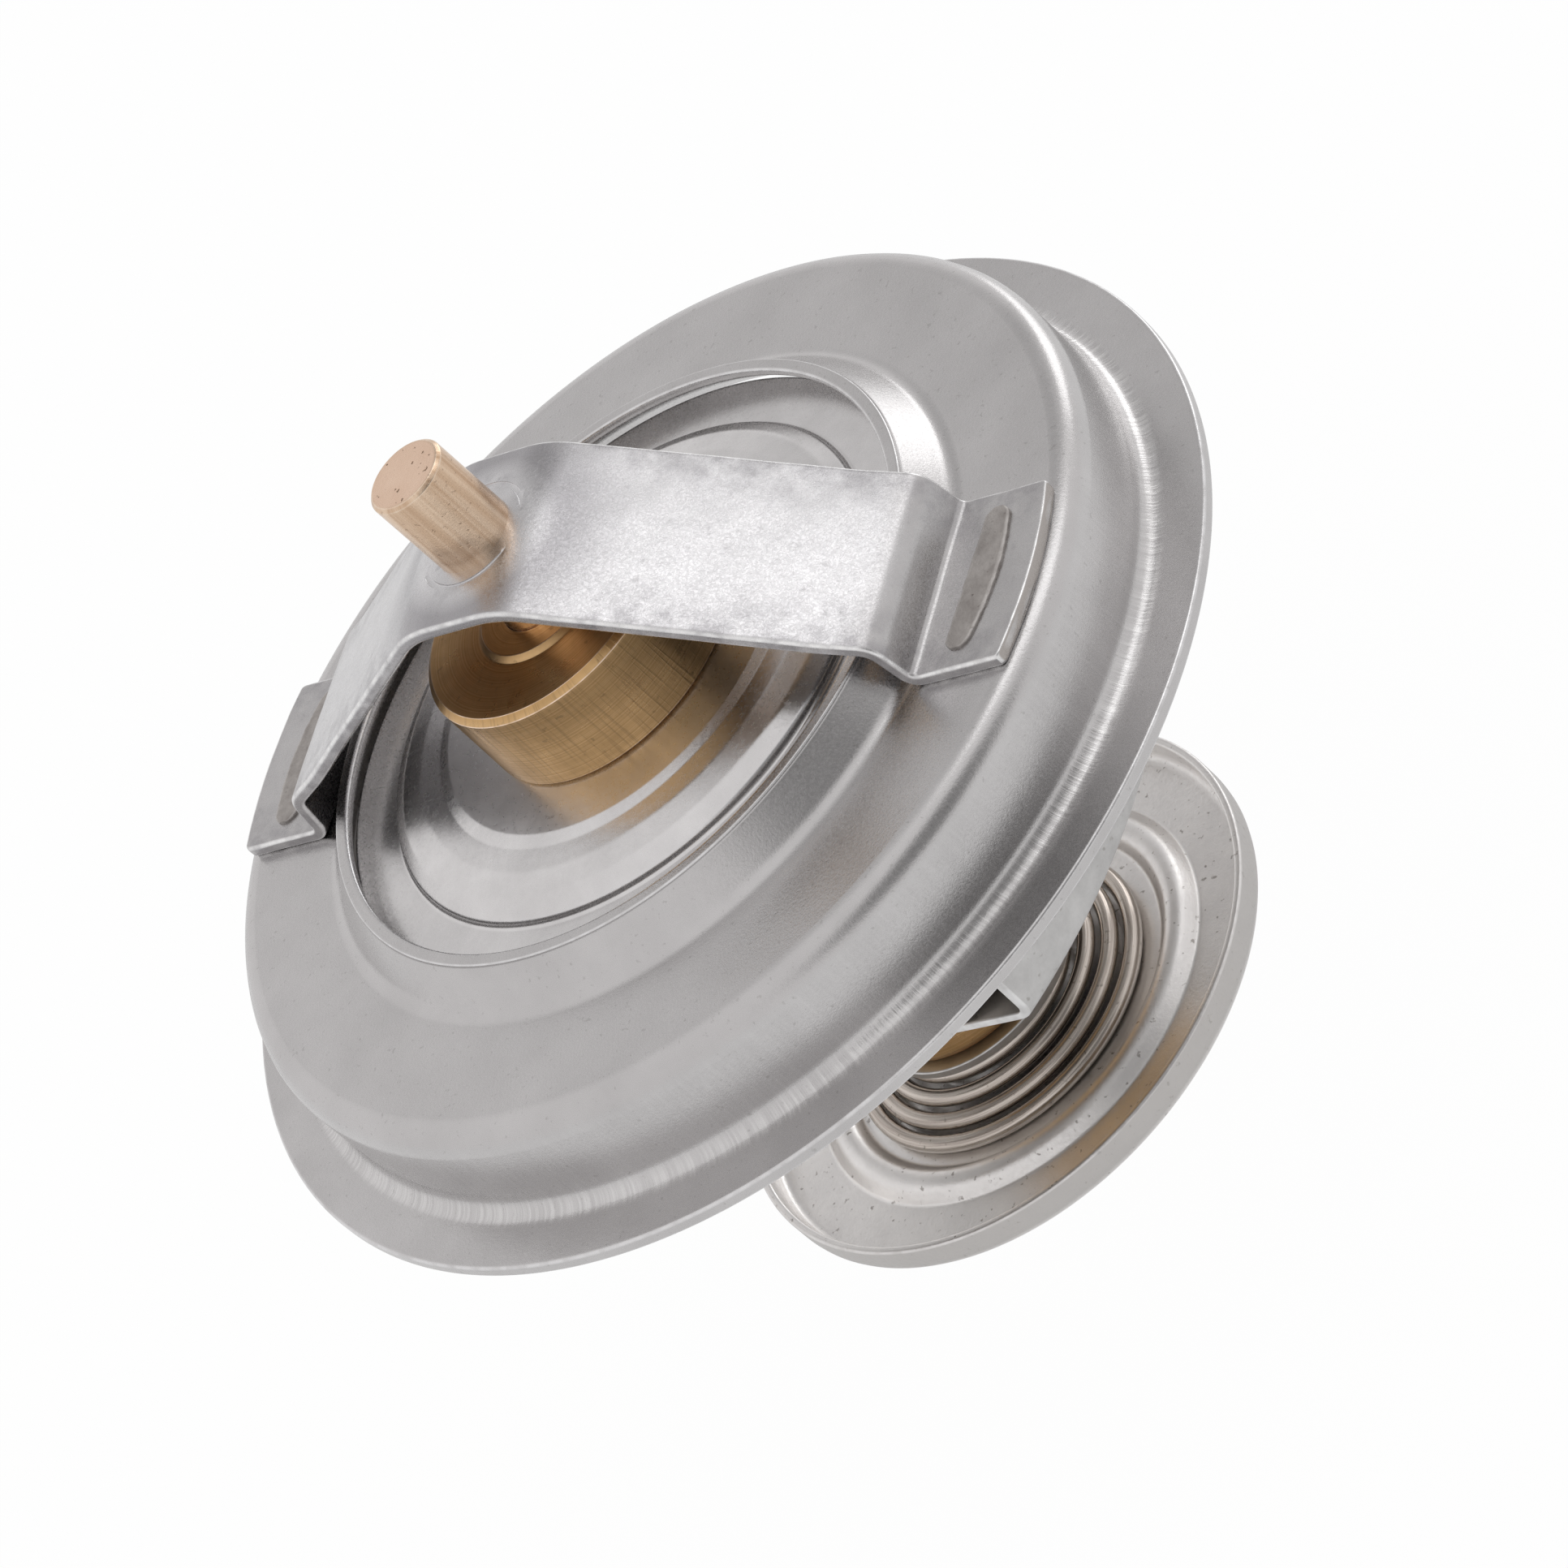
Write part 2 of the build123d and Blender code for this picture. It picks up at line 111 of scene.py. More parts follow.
def maths(tree, operation, first, second=0.0):
    """A sum, product or the like of two values, as a socket."""
    node = tree.nodes.new("ShaderNodeMath")
    node.operation = operation
    for socket, value in zip(node.inputs, (first, second)):
        if isinstance(value, bpy.types.NodeSocket):
            tree.links.new(value, socket)
        else:
            socket.default_value = value
    return node.outputs["Value"]


world = bpy.data.worlds.new("studio")
bpy.context.scene.world = world
world.use_nodes = True
room = world.node_tree
room_look = add(room, "ShaderNodeTexCoord").outputs["Generated"]
room_glow = 0.82
camera_side = (0.15, 0.2, 0.97)
lamp_side = (-0.5, 0.84, -0.15)
for place, dim, edge, core in ((camera_side, 0.55, 0.82, 0.96), (lamp_side, 0.3, 0.86, 0.98)):
    towards = add(room, "ShaderNodeVectorMath", {"operation": "DOT_PRODUCT"})
    room.links.new(room_look, towards.inputs[0])
    towards.inputs[1].default_value = picture_axes @ Vector(place)
    shade = add(room, "ShaderNodeMapRange", Value=towards.outputs["Value"])
    shade.inputs["From Min"].default_value = edge
    shade.inputs["From Max"].default_value = core
    shade.inputs["To Max"].default_value = dim
    room_glow = maths(room, "SUBTRACT", room_glow, shade.outputs["Result"])
room.links.new(room_glow, room.nodes["Background"].inputs["Strength"])
room.nodes["Background"].inputs["Color"].default_value = (1.0, 0.982, 0.98, 1)

# Floor: plain white paper, nearly white to the camera, half as bright to the
# metal, and with a faint shadow.  It lies just below where the opened valve's
# disc ends.
floor_half = 3.0
main_lift = 8.0
floor_gap = 0.3
floor_level = -(main_lift + floor_gap) * mm
floor_mesh = bpy.data.meshes.new("floor")
floor_sides = [(-1, -1), (1, -1), (1, 1), (-1, 1)]
floor_corners = [(x * floor_half, y * floor_half, floor_level) for x, y in floor_sides]
floor_mesh.from_pydata(floor_corners, [], [(0, 1, 2, 3)])
floor = bpy.data.objects.new("floor", floor_mesh)
main_collection.objects.link(floor)
paper = bpy.data.materials.new("floor_paper")
paper.use_nodes = True
paper_tree = paper.node_tree
paper_shader = paper_tree.nodes["Principled BSDF"]
paper_shader.inputs["Base Color"].default_value = (0.85, 0.85, 0.85, 1)
paper_shader.inputs["Roughness"].default_value = 0.9
paper_white = add(paper_tree, "ShaderNodeEmission", Color=(1, 1, 1, 1), Strength=1.0)
ray = add(paper_tree, "ShaderNodeLightPath").outputs
seen_share = 0.975
mirrored_share = 0.5
seen = maths(paper_tree, "MAXIMUM", ray["Is Camera Ray"], ray["Is Transmission Ray"])
mirrored = maths(paper_tree, "MULTIPLY", ray["Is Glossy Ray"], mirrored_share)
seen = maths(paper_tree, "MAXIMUM", seen, mirrored)
seen = maths(paper_tree, "MULTIPLY", seen, seen_share)
paper_mix = add(paper_tree, "ShaderNodeMixShader", Fac=seen)
paper_tree.links.new(paper_shader.outputs["BSDF"], paper_mix.inputs[1])
paper_tree.links.new(paper_white.outputs["Emission"], paper_mix.inputs[2])
paper_tree.links.new(paper_mix.outputs["Shader"], paper_tree.nodes["Material Output"].inputs["Surface"])
floor_mesh.materials.append(paper)


# Flange plate: one disc of stainless sheet, drawn into a flat brim, an upright
# wall and a level plateau, with a conical collar that the main valve closes
# against.  The brim is clamped in the housing.
def rounded(corners, closed=True, steps=6):
    """Points (across, up, wear and painted highlight) of an outline whose corners
    (across, up, bend) are rounded.  Small outside bends count as worn edges with a
    painted highlight on them."""
    longest_share = 0.48
    free_length = 0.4
    beside_bend = 0.12
    worn_highlight_bend = 0.55
    count = len(corners)
    places = [Vector(corner[:2]) for corner in corners]
    area = sum(places[i - 1].x * places[i].y - places[i].x * places[i - 1].y for i in range(count))
    reaches = []
    for i, place in enumerate(places):
        bend = corners[i][2]
        if bend <= 0 or (not closed and i in (0, count - 1)):
            reaches.append(0.0)
            continue
        back = places[i - 1] - place
        ahead = places[(i + 1) % count] - place
        reach = bend / tan(back.angle(ahead) / 2)
        reaches.append(min(reach, longest_share * back.length, longest_share * ahead.length))
    outline = []
    for i, place in enumerate(places):
        reach = reaches[i]
        if reach < 1e-6:
            outline.append((place.x, place.y, 0.0))
            continue
        back = places[i - 1] - place
        ahead = places[(i + 1) % count] - place
        half = back.angle(ahead) / 2
        bend = reach * tan(half)
        back_free = back.length - reach - reaches[i - 1] > free_length
        ahead_free = ahead.length - reach - reaches[(i + 1) % count] > free_length
        back.normalize()
        ahead.normalize()
        centre = place + (back + ahead).normalized() * bend / sin(half)
        spoke = place + back * reach - centre
        end_spoke = place + ahead * reach - centre
        side = 1 if spoke.x * end_spoke.y - spoke.y * end_spoke.x > 0 else -1
        has_worn_highlight = closed and side * area > 0 and bend < worn_highlight_bend
        if back_free:
            outline.append((*(place + back * (reach + beside_bend)), 0.0))
        for step in range(steps + 1):
            turn = side * (pi - 2 * half) * step / steps
            x = centre.x + spoke.x * cos(turn) - spoke.y * sin(turn)
            y = centre.y + spoke.x * sin(turn) + spoke.y * cos(turn)
            worn_highlight = sin(pi * step / steps) if has_worn_highlight else 0.0
            outline.append((x, y, worn_highlight))
        if ahead_free:
            outline.append((*(place + ahead * (reach + beside_bend)), 0.0))
    return outline


def sheet_corners(face, thickness, edge):
    """Corners round a bent sheet, from the corners of one face, with the sheet on its left."""
    least_bend = 0.15
    far = []
    for i, (across, up, bend) in enumerate(face):
        here = Vector((across, up))
        before = (here - Vector(face[i - 1][:2])).normalized() if i else None
        after = (Vector(face[i + 1][:2]) - here).normalized() if i < len(face) - 1 else None
        before = before or after
        after = after or before
        left = Vector((-before.y - after.y, before.x + after.x))
        shift = left * thickness / (1 + before.dot(after))
        turns_left = before.x * after.y - before.y * after.x > 0
        far_bend = bend - thickness if turns_left else bend + thickness
        far.append((across + shift.x, up + shift.y, max(far_bend, least_bend)))
    near = [(*face[0][:2], edge), *face[1:-1], (*face[-1][:2], edge)]
    far[0] = (*far[0][:2], edge)
    far[-1] = (*far[-1][:2], edge)
    return near + far[::-1]


def turned(outline, segments):
    """A closed outline turned about the pin's axis: its points, faces, and edge wear with its painted
    highlight.
    """
    points, wear_and_highlight, rings = [], [], []
    for across, up, worn_highlight in outline:
        stops = 1 if abs(across) < 1e-6 else segments
        rings.append([len(points) + s % stops for s in range(segments)])
        for s in range(stops):
            angle = 2 * pi * s / segments
            points.append((across * cos(angle) * mm, across * sin(angle) * mm, up * mm))
            wear_and_highlight.append(worn_highlight)
    faces = []
    for ring, after in zip(rings, rings[1:] + rings[:1]):
        for s in range(segments):
            t = (s + 1) % segments
            face = list(dict.fromkeys((ring[s], ring[t], after[t], after[s])))
            if len(face) > 2:
                faces.append(face)
    return points, faces, wear_and_highlight


sharp_angle = radians(50)


def shape(name, forms, finish):
    """One object whose mesh holds all its forms, with its finish on it."""
    points, faces, wear_and_highlight = [], [], []
    for form_points, form_faces, form_wear_and_highlight in forms:
        start = len(points)
        points += form_points
        faces += [[start + corner for corner in face] for face in form_faces]
        wear_and_highlight += form_wear_and_highlight
    mesh = bpy.data.meshes.new(name)
    mesh.from_pydata(points, [], faces)
    mesh.attributes.new("wear_and_highlight", "FLOAT", "POINT").data.foreach_set("value", wear_and_highlight)
    edited = bmesh.new()
    edited.from_mesh(mesh)
    bmesh.ops.recalc_face_normals(edited, faces=edited.faces)
    edited.to_mesh(mesh)
    edited.free()
    mesh.shade_smooth()
    mesh.set_sharp_from_angle(angle=sharp_angle)
    mesh.materials.append(finish)
    made = bpy.data.objects.new(name, mesh)
    main_collection.objects.link(made)
    return made


def seat(made, body, node):
    """Lets a finished object ride on its body in place of its CAD node."""
    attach(made, body)
    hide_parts(node)


def group(name, inputs, outputs):
    """An empty shader group with named inputs and outputs."""
    tree = bpy.data.node_groups.new(name, "ShaderNodeTree")
    for label, value in inputs.items():
        socket = tree.interface.new_socket(label, in_out="INPUT", socket_type="NodeSocketFloat")
        socket.default_value = value
    for label in outputs:
        tree.interface.new_socket(label, in_out="OUTPUT", socket_type="NodeSocketFloat")
    return tree, tree.nodes.new("NodeGroupInput").outputs, tree.nodes.new("NodeGroupOutput").inputs


def use(tree, marks, **sockets):
    """Places a shader group in a material and gives back its outputs."""
    return add(tree, "ShaderNodeGroup", {"node_tree": marks}, **sockets).outputs


def ramp(tree, value, low, high, to_low=0.0, to_high=1.0):
    """A value mapped from one range to another, and kept within it."""
    sockets = {"From Min": low, "From Max": high, "To Min": to_low, "To Max": to_high}
    return add(tree, "ShaderNodeMapRange", Value=value, **sockets).outputs["Result"]


def tint(tree, mask, base, other):
    """Blends one colour, or colour socket, into another by a mask."""
    first_colour, second_colour, mixed_colour = 6, 7, 2
    node = add(tree, "ShaderNodeMix", {"data_type": "RGBA"}, Factor=mask)
    for number, colour in ((first_colour, base), (second_colour, other)):
        if isinstance(colour, bpy.types.NodeSocket):
            tree.links.new(colour, node.inputs[number])
        else:
            node.inputs[number].default_value = (*colour, 1)
    return node.outputs[mixed_colour]


def metal(name, roughness, metallic=1.0):
    """A new material, metal unless told otherwise, with its node tree and shader inputs."""
    material = bpy.data.materials.new(name)
    material.use_nodes = True
    shader = material.node_tree.nodes["Principled BSDF"].inputs
    shader["Metallic"].default_value = metallic
    shader["Roughness"].default_value = roughness
    return material, material.node_tree, shader


def emboss(tree, shader, height, depth, strength):
    """Turns a height mask into relief that is so many millimetres deep."""
    bump = add(tree, "ShaderNodeBump", Height=height, Strength=strength, Distance=depth * mm)
    tree.links.new(bump.outputs["Normal"], shader["Normal"])


# Marks that every sheet here has: broad mottling, fine grain and small flecks.
sheet_marks, marks_in, marks_out = group(
    "sheet_marks",
    {"Mottle Size": 6.0, "Grain Size": 0.35, "Fleck Size": 0.9},
    ("Mottle", "Grain", "Flecks"),
)
mark_place = add(sheet_marks, "ShaderNodeTexCoord").outputs["Object"]
for size_name, mark_name, detail, rough in (
    ("Mottle Size", "Mottle", 5.0, 0.62),
    ("Grain Size", "Grain", 3.0, 0.7),
    ("Fleck Size", "Flecks", 2.0, 0.5),
):
    mark = add(sheet_marks, "ShaderNodeTexNoise", Vector=mark_place, Detail=detail, Roughness=rough)
    mark_scale = maths(sheet_marks, "DIVIDE", 1 / mm, marks_in[size_name])
    sheet_marks.links.new(mark_scale, mark.inputs["Scale"])
    level = mark.outputs["Fac"]
    if mark_name == "Flecks":
        level = ramp(sheet_marks, level, 0.66, 0.74)
    sheet_marks.links.new(level, marks_out[mark_name])

# Marks of round work: rings from turning, strokes outwards from drawing.
round_marks, marks_in, marks_out = group(
    "round_marks",
    {"Ring Width": 0.25, "Stroke Count": 110.0, "Stroke Length": 6.0},
    ("Rings", "Strokes", "Radius"),
)
mark_place = add(round_marks, "ShaderNodeTexCoord").outputs["Object"]
mark_parts = add(round_marks, "ShaderNodeSeparateXYZ", Vector=mark_place).outputs
mark_flat = add(round_marks, "ShaderNodeCombineXYZ", X=mark_parts["X"], Y=mark_parts["Y"])
mark_flat = mark_flat.outputs["Vector"]
mark_radius = add(round_marks, "ShaderNodeVectorMath", {"operation": "LENGTH"})
round_marks.links.new(mark_flat, mark_radius.inputs[0])
mark_radius = maths(round_marks, "MULTIPLY", mark_radius.outputs["Value"], 1 / mm)
mark_height = maths(round_marks, "MULTIPLY", mark_parts["Z"], 1 / mm)
mark_out = maths(round_marks, "ADD", mark_radius, mark_height)
ring_place = maths(round_marks, "DIVIDE", mark_out, marks_in["Ring Width"])
rings = add(round_marks, "ShaderNodeTexNoise", {"noise_dimensions": "1D"}, Scale=1.0, Detail=3.0)
round_marks.links.new(ring_place, rings.inputs["W"])
round_marks.links.new(rings.outputs["Fac"], marks_out["Rings"])
mark_turn = add(round_marks, "ShaderNodeVectorMath", {"operation": "NORMALIZE"})
round_marks.links.new(mark_flat, mark_turn.inputs[0])
mark_turn = add(round_marks, "ShaderNodeSeparateXYZ", Vector=mark_turn.outputs["Vector"]).outputs
stroke_place = add(
    round_marks,
    "ShaderNodeCombineXYZ",
    X=maths(round_marks, "MULTIPLY", mark_turn["X"], marks_in["Stroke Count"]),
    Y=maths(round_marks, "MULTIPLY", mark_turn["Y"], marks_in["Stroke Count"]),
    Z=maths(round_marks, "DIVIDE", mark_out, marks_in["Stroke Length"]),
).outputs["Vector"]
strokes = add(round_marks, "ShaderNodeTexNoise", Scale=1.0, Detail=3.0, Roughness=0.6)
round_marks.links.new(stroke_place, strokes.inputs["Vector"])
round_marks.links.new(strokes.outputs["Fac"], marks_out["Strokes"])
round_marks.links.new(mark_radius, marks_out["Radius"])

# Bright wear on cut and bent edges, with a painted highlight laid along them,
# broken up so that it isn't a drawn line.
edge_wear_and_highlight, marks_in, marks_out = group("edge_wear_and_highlight", {"Amount": 1.0}, ("Wear And Highlight",))
worn_highlight_edge = add(edge_wear_and_highlight, "ShaderNodeAttribute", {"attribute_name": "wear_and_highlight"}).outputs["Fac"]
mark_place = add(edge_wear_and_highlight, "ShaderNodeTexCoord").outputs["Object"]
worn_highlight_break = add(edge_wear_and_highlight, "ShaderNodeTexNoise", Vector=mark_place, Scale=900.0, Detail=2.0)
worn_highlight_break = ramp(edge_wear_and_highlight, worn_highlight_break.outputs["Fac"], 0.3, 0.6, 0.35, 1.0)
worn_highlight = maths(edge_wear_and_highlight, "MULTIPLY", worn_highlight_edge, worn_highlight_break)
worn_highlight = maths(edge_wear_and_highlight, "MULTIPLY", worn_highlight, marks_in["Amount"])
edge_wear_and_highlight.links.new(worn_highlight, marks_out["Wear And Highlight"])

flange_low, flange_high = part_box("flange_plate")
brim_radius = flange_high.x / mm
brim_under = flange_low.z / mm
lip_top = flange_high.z / mm
flange_sheet = 1.1
brim_width = 5.1
plateau_width = 10.65
collar_width = 2.4
collar_rise = 3.2
crown_radius = brim_radius - brim_width
crease_radius = crown_radius - plateau_width
lip_radius = crease_radius - collar_width
brim_top = brim_under + flange_sheet
plateau = lip_top - collar_rise
flange_face = [
    (brim_radius, brim_top, 0),
    (crown_radius, brim_top, 1.4),
    (crown_radius, plateau, 2.1),
    (crease_radius, plateau, 1.6),
    (lip_radius, lip_top - 0.3, 0.4),
    (lip_radius, lip_top, 0),
]
flange_finish, tree, shader = metal("flange_steel", 0.28)
marks = use(tree, sheet_marks, Mottle_Size=9.0, Grain_Size=0.22, Fleck_Size=0.45)
round_work = use(tree, round_marks, Ring_Width=0.5, Stroke_Count=150.0, Stroke_Length=5.0)
worn_highlight = use(tree, edge_wear_and_highlight, Amount=0.8)["Wear And Highlight"]
from_bend = maths(tree, "SUBTRACT", round_work["Radius"], crown_radius + 0.8)
drawn = ramp(tree, maths(tree, "ABSOLUTE", from_bend), 0.9, 0.35)
stroke = maths(tree, "MULTIPLY", drawn, ramp(tree, round_work["Strokes"], 0.4, 0.65))
colour = tint(tree, ramp(tree, marks["Mottle"], 0.3, 0.7), (0.55, 0.54, 0.54), (0.63, 0.62, 0.62))
colour = tint(tree, maths(tree, "MULTIPLY", marks["Flecks"], 0.35), colour, (0.32, 0.31, 0.30))
colour = tint(tree, maths(tree, "MULTIPLY", stroke, 0.6), colour, (0.82, 0.815, 0.81))
# Worn edges painted near white: edge wear, and a painted highlight along them.
colour = tint(tree, worn_highlight, colour, (0.86, 0.86, 0.87))
tree.links.new(colour, shader["Base Color"])
tree.links.new(ramp(tree, marks["Grain"], 0.3, 0.7, 0.19, 0.32), shader["Roughness"])
relief = maths(tree, "MULTIPLY", maths(tree, "ADD", stroke, marks["Grain"]), 0.6)
emboss(tree, shader, relief, 0.028, 0.8)
flange_outline = rounded(sheet_corners(flange_face, flange_sheet, 0.25))
seat(shape("flange", [turned(flange_outline, 360)], flange_finish), "housing", "flange_plate")


# Bridge: one bright steel strip, bent over the valve.  Its feet lie on the
# plateau under the staked tenons, and its level hub is pierced for the pin.
def spaced(points, gap):
    """Adds points between those that are further apart than the gap."""
    line = [points[0]]
    for point in points[1:]:
        first, last = Vector(line[-1]), Vector(point)
        parts = max(1, ceil((last.xy - first.xy).length / gap))
        line += [tuple(first.lerp(last, part / parts)) for part in range(1, parts + 1)]
    return line


def swept(sections):
    """A capped form through equal sections, each a list of (x, y, z, wear and painted highlight) in
    millimetres.
    """
    size = len(sections[0])
    points = [(x * mm, y * mm, z * mm) for section in sections for x, y, z, worn_highlight in section]
    wear_and_highlight = [worn_highlight for section in sections for x, y, z, worn_highlight in section]
    faces = []
    for row in range(len(sections) - 1):
        for i in range(size):
            j = (i + 1) % size
            faces.append([row * size + i, row * size + j, (row + 1) * size + j, (row + 1) * size + i])
    last = (len(sections) - 1) * size
    faces.append(list(range(size)))
    faces.append([last + i for i in range(size)])
    return points, faces, wear_and_highlight


bridge_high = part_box("bridge")[1]
strip_sheet = 1.1
strip_edge = 0.3
strip_half = bridge_high.y / mm
hub_top = bridge_high.z / mm
hub_half = 4.4
foot_reach = bridge_high.x / mm
foot_top = plateau + strip_sheet
foot_x = crease_radius + 0.8
foot_start = foot_x + 1.5
foot_corner = 0.5
foot_edge = 0.2
knee_x = foot_x - 0.75
knee_top = foot_top + 3.85
point_gap = 0.8
arm_line = [
    (0, hub_top, 0),
    (hub_half, hub_top, 9.0),
    (knee_x, knee_top, 2.6),
    (foot_x, foot_top, 0.6),
    (foot_reach, foot_top, 0),
]
arm_points = spaced(rounded(arm_line, closed=False, steps=10), point_gap)
arm_points = [point for point in arm_points if point[0] < foot_reach - foot_corner]
corner_steps = 12
for step in range(corner_steps + 1):
    from_end = foot_corner * (1 - sin(pi / 2 * step / corner_steps))
    arm_points.append((foot_reach - from_end, foot_top, 0))
strip_corners = [
    (-strip_half, 0, strip_edge),
    (strip_half, 0, strip_edge),
    (strip_half, strip_sheet, strip_edge),
    (-strip_half, strip_sheet, strip_edge),
]
strip_outline = spaced(rounded(strip_corners), point_gap)


def strip_section(index, side):
    """Section across the strip at one point of its arm, on one side of the hub."""
    x, z = arm_points[index][:2]
    before = Vector(arm_points[max(index - 1, 0)][:2])
    after = Vector(arm_points[min(index + 1, len(arm_points) - 1)][:2])
    along = (after - before).normalized()
    from_end = foot_reach - x
    waviness = 0.05
    crowning = 0.3 * min(max((knee_x - x) / 4, 0), 1)
    half = strip_half
    if from_end < foot_corner:
        half += sqrt(max(foot_corner**2 - (foot_corner - from_end) ** 2, 0)) - foot_corner
    inset = foot_edge - sqrt(foot_edge**2 - max(foot_edge - from_end, 0) ** 2)
    section = []
    for y, depth, worn_highlight in strip_outline:
        y *= half / strip_half
        depth = inset + depth * (strip_sheet - 2 * inset) / strip_sheet
        place = x + along.y * depth
        if x > foot_start:
            curved = sqrt(foot_reach**2 - y * y) - foot_start
            place = foot_start + (x - foot_start) * curved / (foot_reach - foot_start)
        wavy = waviness * noise.noise(Vector((side * x, y, 7)) * 0.35)
        crowned = crowning * (y / strip_half) ** 2
        # Sections at the foot's rounded end count as a worn edge with a painted highlight.
        worn_highlight = 0.9 if 0 < from_end < foot_edge else worn_highlight
        section.append((side * place, y, z - along.x * depth + wavy - crowned, worn_highlight))
    return section


arm_count = len(arm_points)
strip_sections = [strip_section(index, -1) for index in range(arm_count - 1, 0, -1)]
strip_sections += [strip_section(index, 1) for index in range(arm_count)]
pin_radius = 3.3
collar_foot = hub_top - strip_sheet - 2.0
collar_head = hub_top - 0.75
collar_radius = pin_radius + 1.5
collar_root = collar_radius + 0.3
collar_corners = [
    (pin_radius, collar_head, 0),
    (pin_radius, collar_foot, 0.3),
    (collar_radius, collar_foot, 0.35),
    (collar_radius, hub_top - 1.5, 0),
    (collar_root, hub_top - 1.4, 0),
    (collar_root, collar_head, 0),
]
bridge_finish, tree, shader = metal("bridge_steel", 0.34)
marks = use(tree, sheet_marks, Mottle_Size=1.8, Grain_Size=0.22, Fleck_Size=0.9)
round_work = use(tree, round_marks)
worn_highlight = use(tree, edge_wear_and_highlight)["Wear And Highlight"]
craze_place = add(tree, "ShaderNodeTexCoord").outputs["Object"]
craze = add(tree, "ShaderNodeTexNoise", Scale=2600.0, Detail=2.0, Distortion=1.4)
tree.links.new(craze_place, craze.inputs["Vector"])
craze = maths(tree, "SUBTRACT", craze.outputs["Fac"], 0.5)
craze = ramp(tree, maths(tree, "ABSOLUTE", craze), 0.0, 0.045)
arm_end = 28.5
on_arm = ramp(tree, round_work["Radius"], arm_end + 1, arm_end - 1)
# Painted shade: darker on the hub's bend past the coin ring, and towards the strip's long edges, where
# it is mottled.
past_ring = ramp(tree, round_work["Radius"], 5.0, 7.0)
shade_by_hub = maths(tree, "MULTIPLY", ramp(tree, round_work["Radius"], 13.0, 8.0), past_ring)
across_strip = add(tree, "ShaderNodeSeparateXYZ", Vector=craze_place).outputs["Y"]
across_strip = maths(tree, "ABSOLUTE", across_strip)
shade_to_edges = ramp(tree, across_strip, 3.5 * mm, 7.5 * mm, 0.15, 0.7)
painted_shade = maths(tree, "MULTIPLY", ramp(tree, marks["Mottle"], 0.34, 0.62), shade_to_edges)
painted_shade = maths(tree, "MAXIMUM", painted_shade, maths(tree, "MULTIPLY", shade_by_hub, 0.75))
colour = tint(tree, craze, (0.65, 0.64, 0.65), (0.71, 0.705, 0.715))
colour = tint(tree, on_arm, (0.56, 0.55, 0.55), colour)
# The painted shade is laid on as a dark grey.
colour = tint(tree, painted_shade, colour, (0.34, 0.33, 0.345))
colour = tint(tree, maths(tree, "MULTIPLY", marks["Flecks"], 0.3), colour, (0.38, 0.37, 0.38))
cut_end = ramp(tree, round_work["Radius"], foot_reach - 0.07, foot_reach - 0.02)
# Worn edges painted near white: edge wear, and a painted highlight along them.
colour = tint(tree, worn_highlight, colour, (0.95, 0.95, 0.95))
colour = tint(tree, cut_end, colour, (0.44, 0.41, 0.39))
tree.links.new(colour, shader["Base Color"])
tree.links.new(ramp(tree, marks["Grain"], 0.3, 0.7, 0.20, 0.36), shader["Roughness"])
emboss(tree, shader, maths(tree, "ADD", marks["Grain"], craze), 0.004, 0.7)


def baked(holder):
    """The mesh of an object as its modifiers leave it, smooth between its sharp edges."""
    bpy.context.view_layer.update()
    finished = holder.evaluated_get(bpy.context.evaluated_depsgraph_get())
    mesh = bpy.data.meshes.new_from_object(finished)
    mesh.shade_smooth()
    mesh.set_sharp_from_angle(angle=sharp_angle)
    return mesh


def punch(target, corners):
    """Cuts a turned tool, given by its corners, out of an object's mesh."""
    points, faces = turned(rounded(corners), 128)[:2]
    tool_mesh = bpy.data.meshes.new("tool")
    tool_mesh.from_pydata(points, [], faces)
    tool = bpy.data.objects.new("tool", tool_mesh)
    main_collection.objects.link(tool)
    cut = target.modifiers.new("cut", "BOOLEAN")
    cut.operation = "DIFFERENCE"
    cut.solver = "MANIFOLD"
    cut.object = tool
    target.data = baked(target)
    target.modifiers.clear()
    bpy.data.objects.remove(tool)


coin_inner = pin_radius + 1.0
coin_outer = coin_inner + 0.5
coin_floor = hub_top - 0.2
bridge_strip = shape("bridge_strip", [swept(strip_sections)], bridge_finish)
coin_tool = [
    (coin_inner, coin_floor, 0.1),
    (coin_outer, coin_floor, 0.1),
    (coin_outer, hub_top + 1, 0),
    (coin_inner, hub_top + 1, 0),
]
punch(bridge_strip, coin_tool)
seat(bridge_strip, "housing", "bridge")
seat(shape("bridge_collar", [turned(rounded(collar_corners), 128)], bridge_finish), "housing", "bridge")

# Lower frame: a wide steel strap drawn to a cup shape, open at two sides, with
# a hole for the wax cup.  It holds the main spring up against the valve.
frame_low, frame_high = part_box("lower_frame")
frame_sheet = 0.8
frame_half = frame_high.y / mm
frame_under = frame_low.z / mm
leg_radius = crown_radius - 5.4
leg_top = plateau - flange_sheet
round_level = brim_under - 2.0
round_bend = 4.0
fold_reach = leg_radius - 2.9
fold_arc = 51.0
fold_bend = 1.4
cup_hole = 9.4
strap_edge = 0.2
strap_rows = 22
edge_rows = 6


